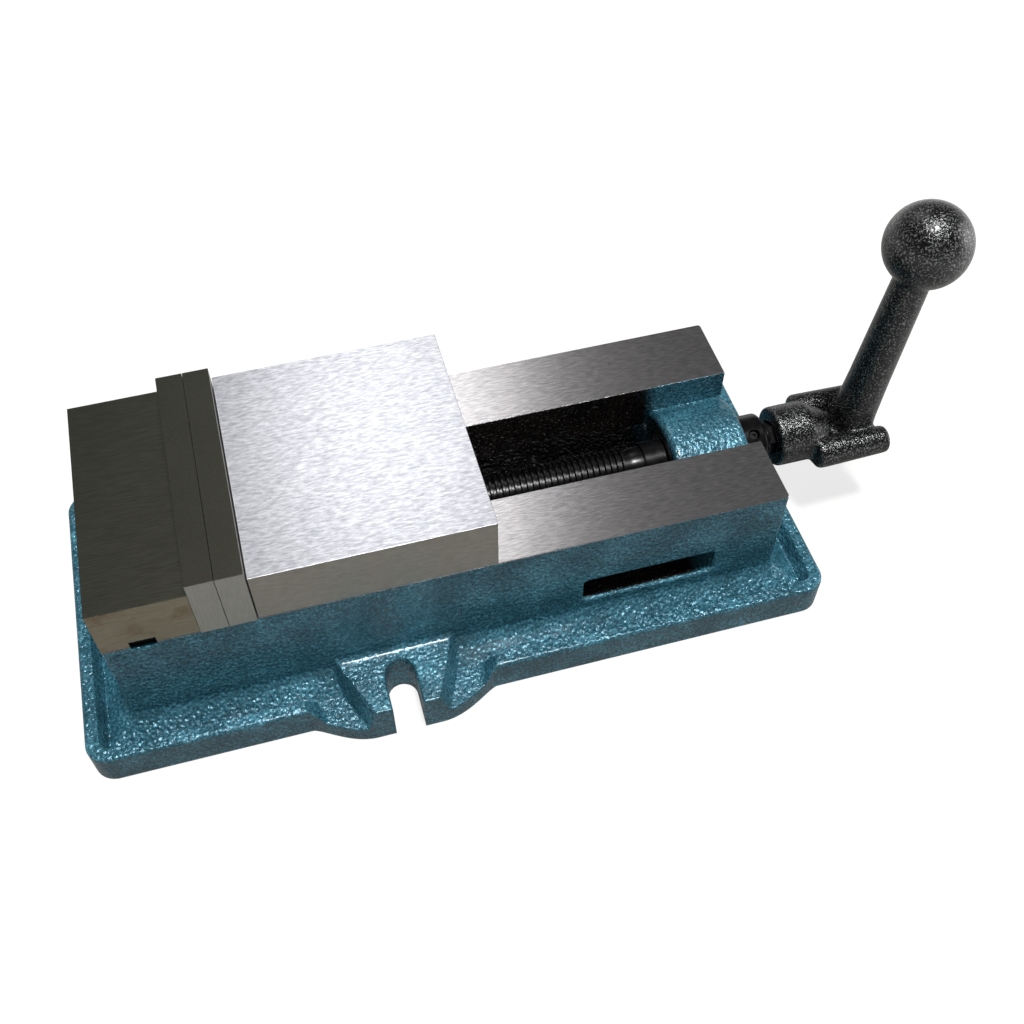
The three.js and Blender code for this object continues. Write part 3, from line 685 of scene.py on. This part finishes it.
def ground_steel(name, top_mm, painted_light_top_stops, side_stops, top_roughness, side_roughness, rust, grain):
    """Surface-ground steel whose top takes painted light: a colour unlike its sides that stands in for what the
    top mirrors; grain is its streaks' stretch along X, Y and Z.
    """
    material, tree, shader, place = new_material(name)
    where = add(tree, "ShaderNodeSeparateXYZ", inputs={"Vector": place})
    # Painted light: this mask gives the top its own colour, standing in for what it mirrors, as well as its own
    # roughness.
    top = add(
        tree, "ShaderNodeMapRange",
        inputs={
            "Value": where.outputs["Z"],
            "From Min": (top_mm - 0.45) / 1000, "From Max": (top_mm - 0.1) / 1000,
        },
    )
    stretch = add(tree, "ShaderNodeMapping", inputs={"Vector": place, "Scale": grain})
    lines = add(
        tree, "ShaderNodeTexNoise",
        inputs={"Vector": stretch.outputs["Vector"], "Scale": 1.0, "Detail": 4.0, "Roughness": 0.6},
    )
    cloud = add(
        tree, "ShaderNodeTexNoise", inputs={"Vector": place, "Scale": 26.0, "Detail": 4.0, "Roughness": 0.5},
    )
    clouded = add(
        tree, "ShaderNodeMapRange", inputs={"Value": cloud.outputs["Fac"], "To Min": -0.08, "To Max": 0.08},
    )
    tone = add(
        tree, "ShaderNodeMath", {"operation": "ADD"}, {0: lines.outputs["Fac"], 1: clouded.outputs["Result"]},
    )
    # Painted light: the top's colours stand in for the dim room or the bright light that the top mirrors.
    painted_light_top_colour = add(tree, "ShaderNodeValToRGB", inputs={"Fac": tone.outputs["Value"]}, stops=painted_light_top_stops)
    side_colour = add(tree, "ShaderNodeValToRGB", inputs={"Fac": tone.outputs["Value"]}, stops=side_stops)
    spots = add(
        tree, "ShaderNodeTexNoise", inputs={"Vector": place, "Scale": 55.0, "Detail": 6.0, "Roughness": 0.65},
    )
    rusty = add(
        tree, "ShaderNodeMapRange",
        inputs={"Value": spots.outputs["Fac"], "From Min": 0.52, "From Max": 0.75, "To Max": rust},
    )
    stained = add(
        tree, "ShaderNodeMix", {"data_type": "RGBA"},
        {0: rusty.outputs["Result"], 6: side_colour.outputs["Color"], 7: srgb("#7d5a3a")},
    )
    colour = add(
        tree, "ShaderNodeMix", {"data_type": "RGBA"},
        {0: top.outputs["Result"], 6: stained.outputs[2], 7: painted_light_top_colour.outputs["Color"]},
    )
    smear = add(
        tree, "ShaderNodeMapRange",
        inputs={
            "Value": cloud.outputs["Fac"],
            "From Min": 0.3, "From Max": 0.7, "To Min": -0.015, "To Max": 0.015,
        },
    )
    rough = add(
        tree, "ShaderNodeMapRange",
        inputs={"Value": top.outputs["Result"], "To Min": side_roughness, "To Max": top_roughness},
    )
    uneven = add(
        tree, "ShaderNodeMath", {"operation": "ADD"},
        {0: rough.outputs["Result"], 1: smear.outputs["Result"]},
    )
    bump = add(
        tree, "ShaderNodeBump", inputs={"Strength": 0.1, "Distance": 0.0004, "Height": lines.outputs["Fac"]},
    )
    feed(tree, shader, {
        "Base Color": colour.outputs[2], "Metallic": 1.0, "Roughness": uneven.outputs["Value"],
        "Normal": bump.outputs["Normal"],
    })
    return material


# Painted shade: the dark tops of the fixed jaw and the plates stand in for the dim room they mirror.
painted_shade_top = [(0.3, "#3b3b34"), (0.7, "#494942")]
warm_side = [(0.3, "#9a907b"), (0.7, "#b4aa96")]
plate_side = [(0.3, "#b2b0a9"), (0.7, "#c8c6bf")]
fixed_jaw_top = box_mm("fixed_jaw")[1][2]
plate_top = box_mm("fixed_jaw_plate")[1][2]
fixed_steel = ground_steel(
    "ground_tool_steel_painted_shade_top", fixed_jaw_top, painted_shade_top, warm_side, 0.5, 0.38, 0.7, (90.0, 1500.0, 1500.0),
)
plate_steel = ground_steel(
    "ground_plate_steel_painted_shade_top", plate_top, painted_shade_top, plate_side, 0.48, 0.4, 0.1, (1500.0, 1500.0, 90.0),
)
broken_edge = 0.18
for name, node, material, body in (
    ("fixed_jaw_block", "fixed_jaw", fixed_steel, "base"),
    ("fixed_plate_block", "fixed_jaw_plate", plate_steel, "base"),
    ("movable_plate_block", "movable_jaw_plate", plate_steel, "jaw"),
):
    dress(from_cad(name, node, broken_edge), material, body, "ground_dark_steel", node)

# ---------------------------------------------------------------- movable jaw, nut and half ball
# The movable jaw is a ground steel cap over the rails. Under it an iron nut rides on the screw, and pushes a
# hardened half ball down a slant, so that the jaw is pulled onto the rails as it clamps.
# Painted reflection: the movable jaw's top is a cooler, lighter grey than its sides, standing in for the bright
# light it mirrors.
painted_reflection_top = [(0.32, "#a3a4ab"), (0.68, "#dbdce1")]
movable_side = [(0.3, "#aca79d"), (0.7, "#c2bdb4")]
movable_steel = ground_steel(
    "ground_steel_painted_reflection_top", box_mm("movable_jaw")[1][2], painted_reflection_top, movable_side, 0.33, 0.36, 0.1,
    (210.0, 900.0, 900.0),
)
movable_jaw = from_cad("movable_jaw_block", "movable_jaw", 0.3)
dress(movable_jaw, movable_steel, "jaw", "ground_bright_steel", "movable_jaw")

# Machined ductile iron: grey, with tool marks and dark graphite pores, and a film of oil.
nut_iron, tree, shader, place = new_material("machined_ductile_iron")
pores = add(tree, "ShaderNodeTexNoise", inputs={"Vector": place, "Scale": 700.0, "Detail": 4.0})
iron = add(
    tree, "ShaderNodeValToRGB", inputs={"Fac": pores.outputs["Fac"]},
    stops=[(0.35, "#3c3a37"), (0.8, "#858179"), (0.55, "#6d6a66")],
)
bump = add(
    tree, "ShaderNodeBump", inputs={"Strength": 0.2, "Distance": 0.0003, "Height": pores.outputs["Fac"]},
)
feed(tree, shader, {
    "Base Color": iron.outputs["Color"], "Metallic": 0.9, "Roughness": 0.42, "Normal": bump.outputs["Normal"],
})
dress(from_cad("nut_block", "jaw_nut", 0.6), nut_iron, "jaw", "nut_iron", "jaw_nut")

# Hardened, polished bearing steel: bright, with very fine polishing lines.
polished, tree, shader, place = new_material("polished_bearing_steel")
haze = add(tree, "ShaderNodeTexNoise", inputs={"Vector": place, "Scale": 900.0, "Detail": 3.0})
steel = add(
    tree, "ShaderNodeValToRGB", inputs={"Fac": haze.outputs["Fac"]},
    stops=[(0.3, "#b4b6b9"), (0.7, "#d4d6d9")],
)
dull = add(tree, "ShaderNodeMapRange", inputs={"Value": haze.outputs["Fac"], "To Min": 0.14, "To Max": 0.26})
feed(tree, shader, {
    "Base Color": steel.outputs["Color"], "Metallic": 1.0, "Roughness": dull.outputs["Result"],
})
dress(from_cad("half_ball", "lock_segment", 0.3), polished, "jaw", "bearing_steel", "lock_segment")

# ---------------------------------------------------------------- screws and bolts
# Socket-head cap screws of blackened steel: two hold each plate, and two larger ones hold the fixed jaw from
# below. With them go the screw that adjusts the movable jaw, and the key under the fixed one.

# Oiled black oxide on steel: nearly black, satin, with faint brown in the thin places.
oxide, tree, shader, place = new_material("oiled_black_oxide")
film = add(
    tree, "ShaderNodeTexNoise", inputs={"Vector": place, "Scale": 180.0, "Detail": 5.0, "Roughness": 0.6},
)
black = add(
    tree, "ShaderNodeValToRGB", inputs={"Fac": film.outputs["Fac"]},
    stops=[(0.3, "#0c0c0d"), (0.85, "#292725"), (0.6, "#161617")],
)
sheen = add(tree, "ShaderNodeMapRange", inputs={"Value": film.outputs["Fac"], "To Min": 0.16, "To Max": 0.34})
bump = add(
    tree, "ShaderNodeBump", inputs={"Strength": 0.12, "Distance": 0.0003, "Height": film.outputs["Fac"]},
)
feed(tree, shader, {
    "Base Color": black.outputs["Color"], "Metallic": 0.5, "Roughness": sheen.outputs["Result"],
    "Normal": bump.outputs["Normal"],
})


def hexagon(name, start, end, across_flats, **where):
    """A hexagonal bar, to cut a socket or to be a drive end."""
    return plain_rod(name, start, end, across_flats / math.sqrt(3), sides=6, turn=math.pi / 2, **where)


def cap_screw(face, tip, sizes, frame_axes):
    """A socket-head screw on an axis through the origin, from the face of its head to its tip."""
    head_diameter, diameter, across_flats, head_height = sizes
    head_radius, radius = head_diameter / 2, diameter / 2
    way = 1 if face > tip else -1
    seat = face - way * head_height
    where = {"centre": (0, 0, 0), "frame_axes": frame_axes}
    screw = turned("screw_template", [
        (face, head_radius - 0.9), (face - way * 0.25, head_radius - 0.35), (face - way * 0.9, head_radius),
        (seat + way * 0.3, head_radius), (seat, head_radius - 0.3), (seat, radius),
        (tip + way, radius), (tip, radius - 1),
    ], sides=64, **where)
    ends = sorted((face + way * over, face - way * head_height / 2))
    combine(screw, "DIFFERENCE", hexagon("socket", *ends, across_flats, **where))
    crisp(screw, 30)
    return screw


def new_tree(name, inputs):
    """A geometry tree with named inputs, their identifiers, and the sockets that hand them out."""
    tree = bpy.data.node_groups.new(name, "GeometryNodeTree")
    tree.interface.new_socket("Geometry", in_out="OUTPUT", socket_type="NodeSocketGeometry")
    sockets = {
        key: tree.interface.new_socket(key, in_out="INPUT", socket_type="NodeSocket" + kind).identifier
        for key, kind in inputs.items()
    }
    return tree, sockets, add(tree, "NodeGroupInput").outputs


def close_tree(tree, finish, *parts):
    """Ends a tree: its parts are joined, instances become real, and the finish is set."""
    joined = add(tree, "GeometryNodeJoinGeometry")
    for part in parts:
        tree.links.new(part, joined.inputs["Geometry"])
    real = add(tree, "GeometryNodeRealizeInstances", inputs={"Geometry": joined.outputs["Geometry"]})
    finished = add(
        tree, "GeometryNodeSetMaterial", inputs={"Geometry": real.outputs["Geometry"], "Material": finish},
    )
    add(tree, "NodeGroupOutput", inputs={"Geometry": finished.outputs["Geometry"]})


row_tree, row_sockets, given = new_tree("row_of_screws", {
    "Screw": "Object", "Count": "Int", "First": "Vector", "Step": "Vector", "Finish": "Material",
})
line = add(
    row_tree, "GeometryNodeMeshLine", {"mode": "OFFSET"},
    {"Count": given["Count"], "Start Location": given["First"], "Offset": given["Step"]},
)
info = add(row_tree, "GeometryNodeObjectInfo", inputs={"Object": given["Screw"]})
placed = add(
    row_tree, "GeometryNodeInstanceOnPoints",
    inputs={"Points": line.outputs["Mesh"], "Instance": info.outputs["Geometry"]},
)
close_tree(row_tree, given["Finish"], placed.outputs["Instances"])


def from_nodes(piece, tree, sockets, values):
    """Runs a geometry tree on a piece and keeps the result as its mesh."""
    made = piece.modifiers.new("nodes", "NODES")
    made.node_group = tree
    for name, value in values.items():
        made[sockets[name]] = value
    settle(piece)


# Head and body diameter, socket across flats, and height of the head.
plate_screw = (18, 12, 10, 11.6)
jaw_bolt = (24, 16, 14, 16)
for stem, body, sizes, axes, faces_high in (
    ("fixed_plate_screw", "base", plate_screw, ALONG_X, True),
    ("movable_plate_screw", "jaw", plate_screw, ALONG_X, False),
    ("fixed_jaw_bolt", "base", jaw_bolt, UPRIGHT, False),
):
    nodes = (stem + "_front", stem + "_back")
    low, high = box_mm(nodes[0])
    along = 2 if axes is UPRIGHT else 0
    face, tip = (high[along], low[along]) if faces_high else (low[along], high[along])
    template = cap_screw(face, tip, sizes, axes)
    first, second = (np.mean(box_mm(node), axis=0) / 1000 for node in nodes)
    first[along] = second[along] = 0
    piece = bpy.data.objects.new(stem + "s", bpy.data.meshes.new(stem + "s"))
    bpy.context.scene.collection.objects.link(piece)
    from_nodes(piece, row_tree, row_sockets, {
        "Screw": template, "Count": 2, "First": list(first), "Step": list(second - first), "Finish": oxide,
    })
    bpy.data.objects.remove(template)
    dress(piece, oxide, body, "black_oxide", *nodes)

low, high = box_mm("jaw_adjust_screw")
centre = (0, 0, (low[2] + high[2]) / 2)
adjuster = turned(
    "adjusting_screw", [(low[0], 4.6), (low[0] + 1.2, 6), (high[0] - 0.8, 6), (high[0], 5.2)],
    centre=centre, sides=64,
)
combine(adjuster, "DIFFERENCE", hexagon("socket", high[0] - 6, high[0] + over, 6, centre=centre))
crisp(adjuster, 30)
dress(adjuster, oxide, "jaw", "black_oxide", "jaw_adjust_screw")
dress(from_cad("jaw_key", "fixed_jaw_key", 0.4), oxide, "base", "black_oxide", "fixed_jaw_key")

# ---------------------------------------------------------------- lead screw
# Turned from bar and blackened: a left-hand trapezoidal thread of 4 mm pitch, a shoulder that thrusts on the
# bearing, a plain shank through the boss, and a hexagon for the crank. The thread is a ridge laid on a core.
thread_radius = 14.0
thread_depth = 2.1
pitch = 4.0
root_width = 2.6
crest_width = 1.3
thread_start = 1.8  # from the screw's end, past its chamfer
thread_end = 173.0
thread_length = thread_end - screw_low[0] - 2
shoulder_left = 183.0
hex_across = 19.0
hex_left = 268.9
core_radius = thread_radius - thread_depth
lead_screw = turned("lead_screw_bar", [
    (screw_low[0], core_radius - 1.6), (screw_low[0] + thread_start, core_radius),
    (thread_end + 1, core_radius),
    (thread_end + 3, thread_radius - 1.2), (shoulder_left, thread_radius - 1.2), (shoulder_left, 14.4),
    (shoulder_left + 0.6, 15), (boss_left - 0.6, 15), (boss_left, 14.4), (boss_left, shank_radius),
    (hex_left + 0.4, shank_radius), (hex_left + 1, shank_radius - 0.6),
])
corner_radius = hex_across / math.sqrt(3)
drive = turned(
    "drive",
    [
        (hex_left - 4, corner_radius), (screw_high[0] - 1.2, corner_radius),
        (screw_high[0], corner_radius - 1.6),
    ],
    sides=6, turn=math.pi / 2,
)
combine(lead_screw, "UNION", drive)

thread_tree, thread_sockets, given = new_tree("left_hand_thread", {
    "Geometry": "Geometry", "Turns": "Float", "Length": "Float", "Middle Radius": "Float", "Start": "Vector",
    "Depth": "Float", "Root Width": "Float", "Crest Width": "Float", "Finish": "Material",
})
spiral = add(
    thread_tree, "GeometryNodeCurveSpiral",
    inputs={
        "Resolution": 40, "Rotations": given["Turns"], "Start Radius": given["Middle Radius"],
        "End Radius": given["Middle Radius"], "Height": given["Length"], "Reverse": False,
    },
)
upright = add(
    thread_tree, "GeometryNodeSetCurveNormal", {"mode": "Z_UP"}, {"Curve": spiral.outputs["Curve"]},
)
tooth = add(
    thread_tree, "GeometryNodeCurvePrimitiveQuadrilateral", {"mode": "TRAPEZOID"},
    {
        "Bottom Width": given["Root Width"], "Top Width": given["Crest Width"], "Height": given["Depth"],
        "Offset": 0.0,
    },
)
outward = add(
    thread_tree, "GeometryNodeTransform",
    inputs={"Geometry": tooth.outputs["Curve"], "Rotation": (0.0, 0.0, math.pi / 2)},
)
ridge = add(
    thread_tree, "GeometryNodeCurveToMesh",
    inputs={
        "Curve": upright.outputs["Curve"], "Profile Curve": outward.outputs["Geometry"], "Fill Caps": True,
    },
)
laid = add(
    thread_tree, "GeometryNodeTransform",
    inputs={
        "Geometry": ridge.outputs["Mesh"], "Translation": given["Start"], "Rotation": (0.0, math.pi / 2, 0.0),
    },
)
close_tree(thread_tree, given["Finish"], given["Geometry"], laid.outputs["Geometry"])
sink = 0.25  # the ridge's foot lies this far inside the core
from_nodes(lead_screw, thread_tree, thread_sockets, {
    "Turns": thread_length / pitch, "Length": thread_length / 1000,
    "Middle Radius": (thread_radius - (thread_depth + sink) / 2) / 1000,
    "Start": [(screw_low[0] + thread_start) / 1000, 0, screw_z / 1000],
    "Depth": (thread_depth + sink) / 1000,
    "Root Width": root_width / 1000, "Crest Width": crest_width / 1000, "Finish": oxide,
})
crisp(lead_screw, 30)
dress(lead_screw, oxide, "screw", "black_oxide", "lead_screw")

# ---------------------------------------------------------------- thrust bearing
# In the boss, behind the screw's shoulder: a race on the shaft, a race in the housing, and a pressed sheet
# cage with ten balls between them, all hardened and polished.
groove = 0.5
for name, node, body, side in (
    ("shaft_race", "bearing_shaft_race", "screw", 1), ("housing_race", "bearing_housing_race", "base", -1),
):
    low, high = box_mm(node)
    track, plain = (high[0], low[0]) if side > 0 else (low[0], high[0])
    bore, rim = shank_radius + 0.3, bearing_radius
    middle = (bore + rim) / 2
    race = turned(name, [
        (plain, bore + 0.4), (plain + side * 0.4, bore), (track - side * 0.4, bore), (track, bore + 0.4),
        (track, middle - 1.9), (track - side * groove * 0.7, middle - 1), (track - side * groove, middle),
        (track - side * groove * 0.7, middle + 1), (track, middle + 1.9), (track, rim - 0.4),
        (track - side * 0.4, rim), (plain + side * 0.4, rim), (plain, rim - 0.4),
    ], hollow=True)
    crisp(race, 30)
    dress(race, polished, body, "bearing_steel", node)

low, high = box_mm("bearing_ball_cage")
cage_x = (low[0] + high[0]) / 2
cage_half = 0.8
cage_bore = 13.2
cage_rim = 20.4
cage = turned("ball_cage", [
    (cage_x - cage_half, cage_bore), (cage_x + cage_half, cage_bore), (cage_x + cage_half, cage_rim - 0.3),
    (cage_x + 0.5, cage_rim), (cage_x - 0.5, cage_rim), (cage_x - cage_half, cage_rim - 0.3),
], hollow=True)
ball_tree, ball_sockets, given = new_tree("ring_of_balls", {
    "Geometry": "Geometry", "Balls": "Int", "Ring Radius": "Float", "Ball Radius": "Float",
    "Centre": "Vector", "Finish": "Material",
})
circle = add(
    ball_tree, "GeometryNodeMeshCircle", {"fill_type": "NONE"},
    {"Vertices": given["Balls"], "Radius": given["Ring Radius"]},
)
ball = add(
    ball_tree, "GeometryNodeMeshUVSphere",
    inputs={"Segments": 24, "Rings": 14, "Radius": given["Ball Radius"]},
)
placed = add(
    ball_tree, "GeometryNodeInstanceOnPoints",
    inputs={"Points": circle.outputs["Mesh"], "Instance": ball.outputs["Mesh"]},
)
laid = add(
    ball_tree, "GeometryNodeTransform",
    inputs={
        "Geometry": placed.outputs["Instances"], "Translation": given["Centre"],
        "Rotation": (0.0, math.pi / 2, 0.0),
    },
)
close_tree(ball_tree, given["Finish"], given["Geometry"], laid.outputs["Geometry"])
from_nodes(cage, ball_tree, ball_sockets, {
    "Balls": 10, "Ring Radius": 16.5 / 1000, "Ball Radius": 2.3 / 1000,
    "Centre": [cage_x / 1000, 0, screw_z / 1000], "Finish": polished,
})
crisp(cage, 30)
dress(cage, polished, "bearing_cage", "bearing_steel", "bearing_ball_cage")

# ---------------------------------------------------------------- thrust collar
# A blackened steel ring on the shank, outside the boss, which takes the pull when the jaw opens. A short set
# screw, aslant on top, holds it.
low, high = box_mm("thrust_collar")
collar_radius = (high[2] - low[2]) / 2
collar_round = 2.5
round_steps = 8
round_x, round_radius = high[0] - collar_round, collar_radius - collar_round
outer_arc = [math.pi / 2 * k / round_steps for k in range(round_steps + 1)]
collar = turned("thrust_ring", [
    (low[0] + 0.5, shank_radius + 0.3), (low[0], shank_radius + 0.8), (low[0], collar_radius - 0.8),
    (low[0] + 0.3, collar_radius - 0.2), (low[0] + 0.9, collar_radius),
    *[(round_x + collar_round * math.sin(a), round_radius + collar_round * math.cos(a)) for a in outer_arc],
    (high[0], shank_radius + 1.1), (high[0] - 0.8, shank_radius + 0.3),
], hollow=True, sides=128)
lean = math.radians(25)
LEANING = (
    Vector((0, -math.sin(lean), math.cos(lean))),
    Vector((1, 0, 0)),
    Vector((0, math.cos(lean), math.sin(lean))),
)
where = {"centre": ((low[0] + high[0]) / 2, 0, screw_z), "frame_axes": LEANING}
hole = turned(
    "hole", [(shank_radius - 2, 3.3), (collar_radius - 0.7, 3.3), (collar_radius + 0.6, 4.6)],
    sides=48, **where,
)
combine(collar, "DIFFERENCE", hole)
crisp(collar, 32)
dress(collar, oxide, "screw", "black_oxide", "thrust_collar")
screw_top = collar_radius - 2.6
set_screw = turned(
    "set_screw", [(shank_radius + 0.3, 2.2), (shank_radius + 1, 3), (screw_top - 0.4, 3), (screw_top, 2.6)],
    sides=48, **where,
)
combine(set_screw, "DIFFERENCE", hexagon("socket", screw_top - 2, screw_top + over, 3, **where))
crisp(set_screw, 30)
dress(set_screw, oxide, "screw", "bearing_steel", "collar_set_screw")

# ---------------------------------------------------------------- crank handle
# One iron casting: a hub with a hexagon socket, two bars with a web between them, an arm and a ball. All its
# corners are soft, as a sand casting's are. It is painted black with a silver vein, and slides off the screw.
hub_left = box_mm("crank_handle")[0][0]
hub_radius = 20.0
fork_left = hub_left + 25
fork_right = fork_left + 54
fork_z = screw_z - 2
arm_x = fork_right - 20.5
arm_lean = math.radians(5)
ball_radius = 26.0
ball_rise = 148.0
web_top = fork_z + 2.4
web_thickness = 12.0
bar_spread = 20.0
bar_radius = 10.2
hub = turned("crank", [
    (hub_left, hub_radius - 1.8), (hub_left + 0.5, hub_radius - 0.7), (hub_left + 1.8, hub_radius),
    (fork_left - 2, hub_radius), (fork_left, hub_radius - 0.7), (fork_left + 14, 11),
])
bars = []
for side in (-1, 1):
    bars.append(turned("bar", [
        (fork_left - 1, bar_radius - 1.7), (fork_left + 1, bar_radius), (fork_left + 6, bar_radius),
        (fork_right - 6, bar_radius - 1), (fork_right - 4.6, bar_radius - 1.6), (fork_right - 4, 7),
    ], centre=(0, side * bar_spread, fork_z), sides=64))
web = block(
    "web", (fork_left - 1, -bar_spread, web_top - web_thickness), (fork_right - 7, bar_spread, web_top),
)
arm_axis = Vector((math.sin(arm_lean), 0, math.cos(arm_lean)))
ARM = (arm_axis, Vector((0, 1, 0)), Vector((-math.cos(arm_lean), 0, math.sin(arm_lean))))
arm_length = ball_rise / math.cos(arm_lean)
arm = turned(
    "arm", [(-6, 15.6), (2, 15), (12, 14.2), (40, 13.2), (arm_length, 10.9)],
    centre=(arm_x, 0, screw_z), frame_axes=ARM,
)
ball_arc = [math.pi * k / 48 for k in range(1, 48)]
knob = turned(
    "knob", [(-ball_radius * math.cos(a), ball_radius * math.sin(a)) for a in ball_arc],
    centre=(arm_x + ball_rise * math.tan(arm_lean), 0, screw_z + ball_rise), frame_axes=ARM,
)
combine(hub, "UNION", *bars, web, arm, knob)
grains = hub.modifiers.new("cast", "REMESH")
grains.mode = "VOXEL"
grains.voxel_size = 0.0009
softened = hub.modifiers.new("soft", "SMOOTH")
softened.factor = 0.5
softened.iterations = 14
settle(hub)
socket = turned(
    "socket",
    [(hub_left - 1, 13.6), (hub_left, 12.6), (hub_left + 1.3, 11.4), (hub_left + 26, 11.4)],
    sides=6, turn=math.pi / 2,
)
combine(hub, "DIFFERENCE", socket)
crisp(hub, 38)

# Silver-vein paint on cast iron: glossy black enamel that opens as it dries into fine silver speckles, about
# 1 mm across, between slightly raised black islands.
vein, tree, shader, place = new_material("black_silver_vein_paint")
speckle = add(
    tree, "ShaderNodeTexNoise", inputs={"Vector": place, "Scale": 900.0, "Detail": 2.0, "Roughness": 0.5},
)
vein_colour = add(
    tree, "ShaderNodeValToRGB", inputs={"Fac": speckle.outputs["Fac"]},
    stops=[(0.46, "#030304"), (0.63, "#8a8c8b"), (0.54, "#151617")],
)
silver = add(
    tree, "ShaderNodeMapRange",
    inputs={"Value": speckle.outputs["Fac"], "From Min": 0.48, "From Max": 0.6, "To Max": 0.9},
)
sheen = add(
    tree, "ShaderNodeMapRange",
    inputs={
        "Value": speckle.outputs["Fac"], "From Min": 0.45, "From Max": 0.65, "To Min": 0.2, "To Max": 0.42,
    },
)
bump = add(
    tree, "ShaderNodeBump", {"invert": True},
    {"Strength": 0.6, "Distance": 0.0007, "Height": speckle.outputs["Fac"]},
)
feed(tree, shader, {
    "Base Color": vein_colour.outputs["Color"], "Metallic": silver.outputs["Result"],
    "Roughness": sheen.outputs["Result"], "Coat Weight": 0.15, "Coat Roughness": 0.1,
    "Normal": bump.outputs["Normal"],
})
dress(hub, vein, "crank", "crank_paint", "crank_handle")

# ---------------------------------------------------------------- floor, lights and camera
# A plain pale floor under one main light, high and a little to the front, with a softbox behind that the
# level faces mirror, and two weak ones in front and beside. The room is dim, so that the upright faces stay
# dark, but it and the floor look white when seen directly.
half = 20.0
floor_mesh = bpy.data.meshes.new("floor")
floor_mesh.from_pydata(
    [(-half, -half, 0), (half, -half, 0), (half, half, 0), (-half, half, 0)], [], [(0, 1, 2, 3)],
)
floor = bpy.data.objects.new("floor", floor_mesh)
bpy.context.scene.collection.objects.link(floor)
paper, tree, shader, place = new_material("pale_grey_paper")
fibre = add(tree, "ShaderNodeTexNoise", inputs={"Vector": place, "Scale": 60.0, "Detail": 3.0})
grey = add(
    tree, "ShaderNodeValToRGB", inputs={"Fac": fibre.outputs["Fac"]},
    stops=[(0.3, "#888886"), (0.7, "#8c8c8a")],
)
away = add(tree, "ShaderNodeVectorMath", {"operation": "LENGTH"}, {0: place})
lit = add(
    tree, "ShaderNodeMapRange",
    inputs={"Value": away.outputs["Value"], "From Min": 0.35, "From Max": 0.9, "To Max": 0.7},
)
seen = add(tree, "ShaderNodeLightPath")
lift = add(
    tree, "ShaderNodeMix", {"data_type": "FLOAT"},
    {0: seen.outputs["Is Camera Ray"], 2: lit.outputs["Result"], 3: 0.75},
)
feed(tree, shader, {
    "Base Color": grey.outputs["Color"], "Roughness": 0.95, "Specular IOR Level": 0.0,
    "Emission Color": (1, 1, 1, 1), "Emission Strength": lift.outputs[0],
})
floor_mesh.materials.append(paper)

world = bpy.data.worlds.new("studio")
world.use_nodes = True
tree = world.node_tree
sky = add(tree, "ShaderNodeTexCoord")
up = add(tree, "ShaderNodeSeparateXYZ", inputs={"Vector": sky.outputs["Generated"]})
fade = add(
    tree, "ShaderNodeMapRange",
    inputs={"Value": up.outputs["Z"], "From Min": 0.05, "From Max": 0.35, "To Min": 0.55, "To Max": 0.09},
)
seen = add(tree, "ShaderNodeLightPath")
brightness = add(
    tree, "ShaderNodeMix", {"data_type": "FLOAT"},
    {0: seen.outputs["Is Camera Ray"], 2: fade.outputs["Result"], 3: 1.1},
)
feed(tree, tree.nodes["Background"], {"Color": (1, 1, 1, 1), "Strength": brightness.outputs[0]})
bpy.context.scene.world = world


def lamp(name, kind, place, target, energy, size, size_y=None):
    """A light at a place, turned to a target."""
    data = bpy.data.lights.new(name, kind)
    data.energy = energy
    if kind == "SUN":
        data.angle = math.radians(size)
    else:
        data.shape = "RECTANGLE"
        data.size, data.size_y = size, size_y
    light = bpy.data.objects.new(name, data)
    light.location = place
    light.rotation_euler = (Vector(target) - Vector(place)).to_track_quat("-Z", "Y").to_euler()
    bpy.context.scene.collection.objects.link(light)


lamp("main_light", "SUN", (0.1, -0.25, 1.9), (0, 0, 0), 3.3, 9)
lamp("back_softbox", "AREA", (0.13, 0.97, 1.28), (0, 0, 0.1), 2.65, 0.46, 0.62)
lamp("front_softbox", "AREA", (0.3, -1.3, 1.3), (0.05, 0, 0), 1.2, 0.2, 0.2)
lamp("right_softbox", "AREA", (1.3, -0.12, 0.4), (0.33, 0, 0.12), 3.0, 0.6, 0.6)

camera_data = bpy.data.cameras.new("camera")
camera_data.lens = 42.37
camera_data.sensor_width = 36.0
camera = bpy.data.objects.new("camera", camera_data)
camera.location = (-0.0310, -0.4578, 0.6689)
look = Vector((0.16077, 0.57933, -0.79908))
camera.rotation_euler = look.to_track_quat("-Z", "Y").to_euler()
bpy.context.scene.collection.objects.link(camera)
bpy.context.scene.camera = camera
bpy.context.scene.view_settings.view_transform = "Standard"
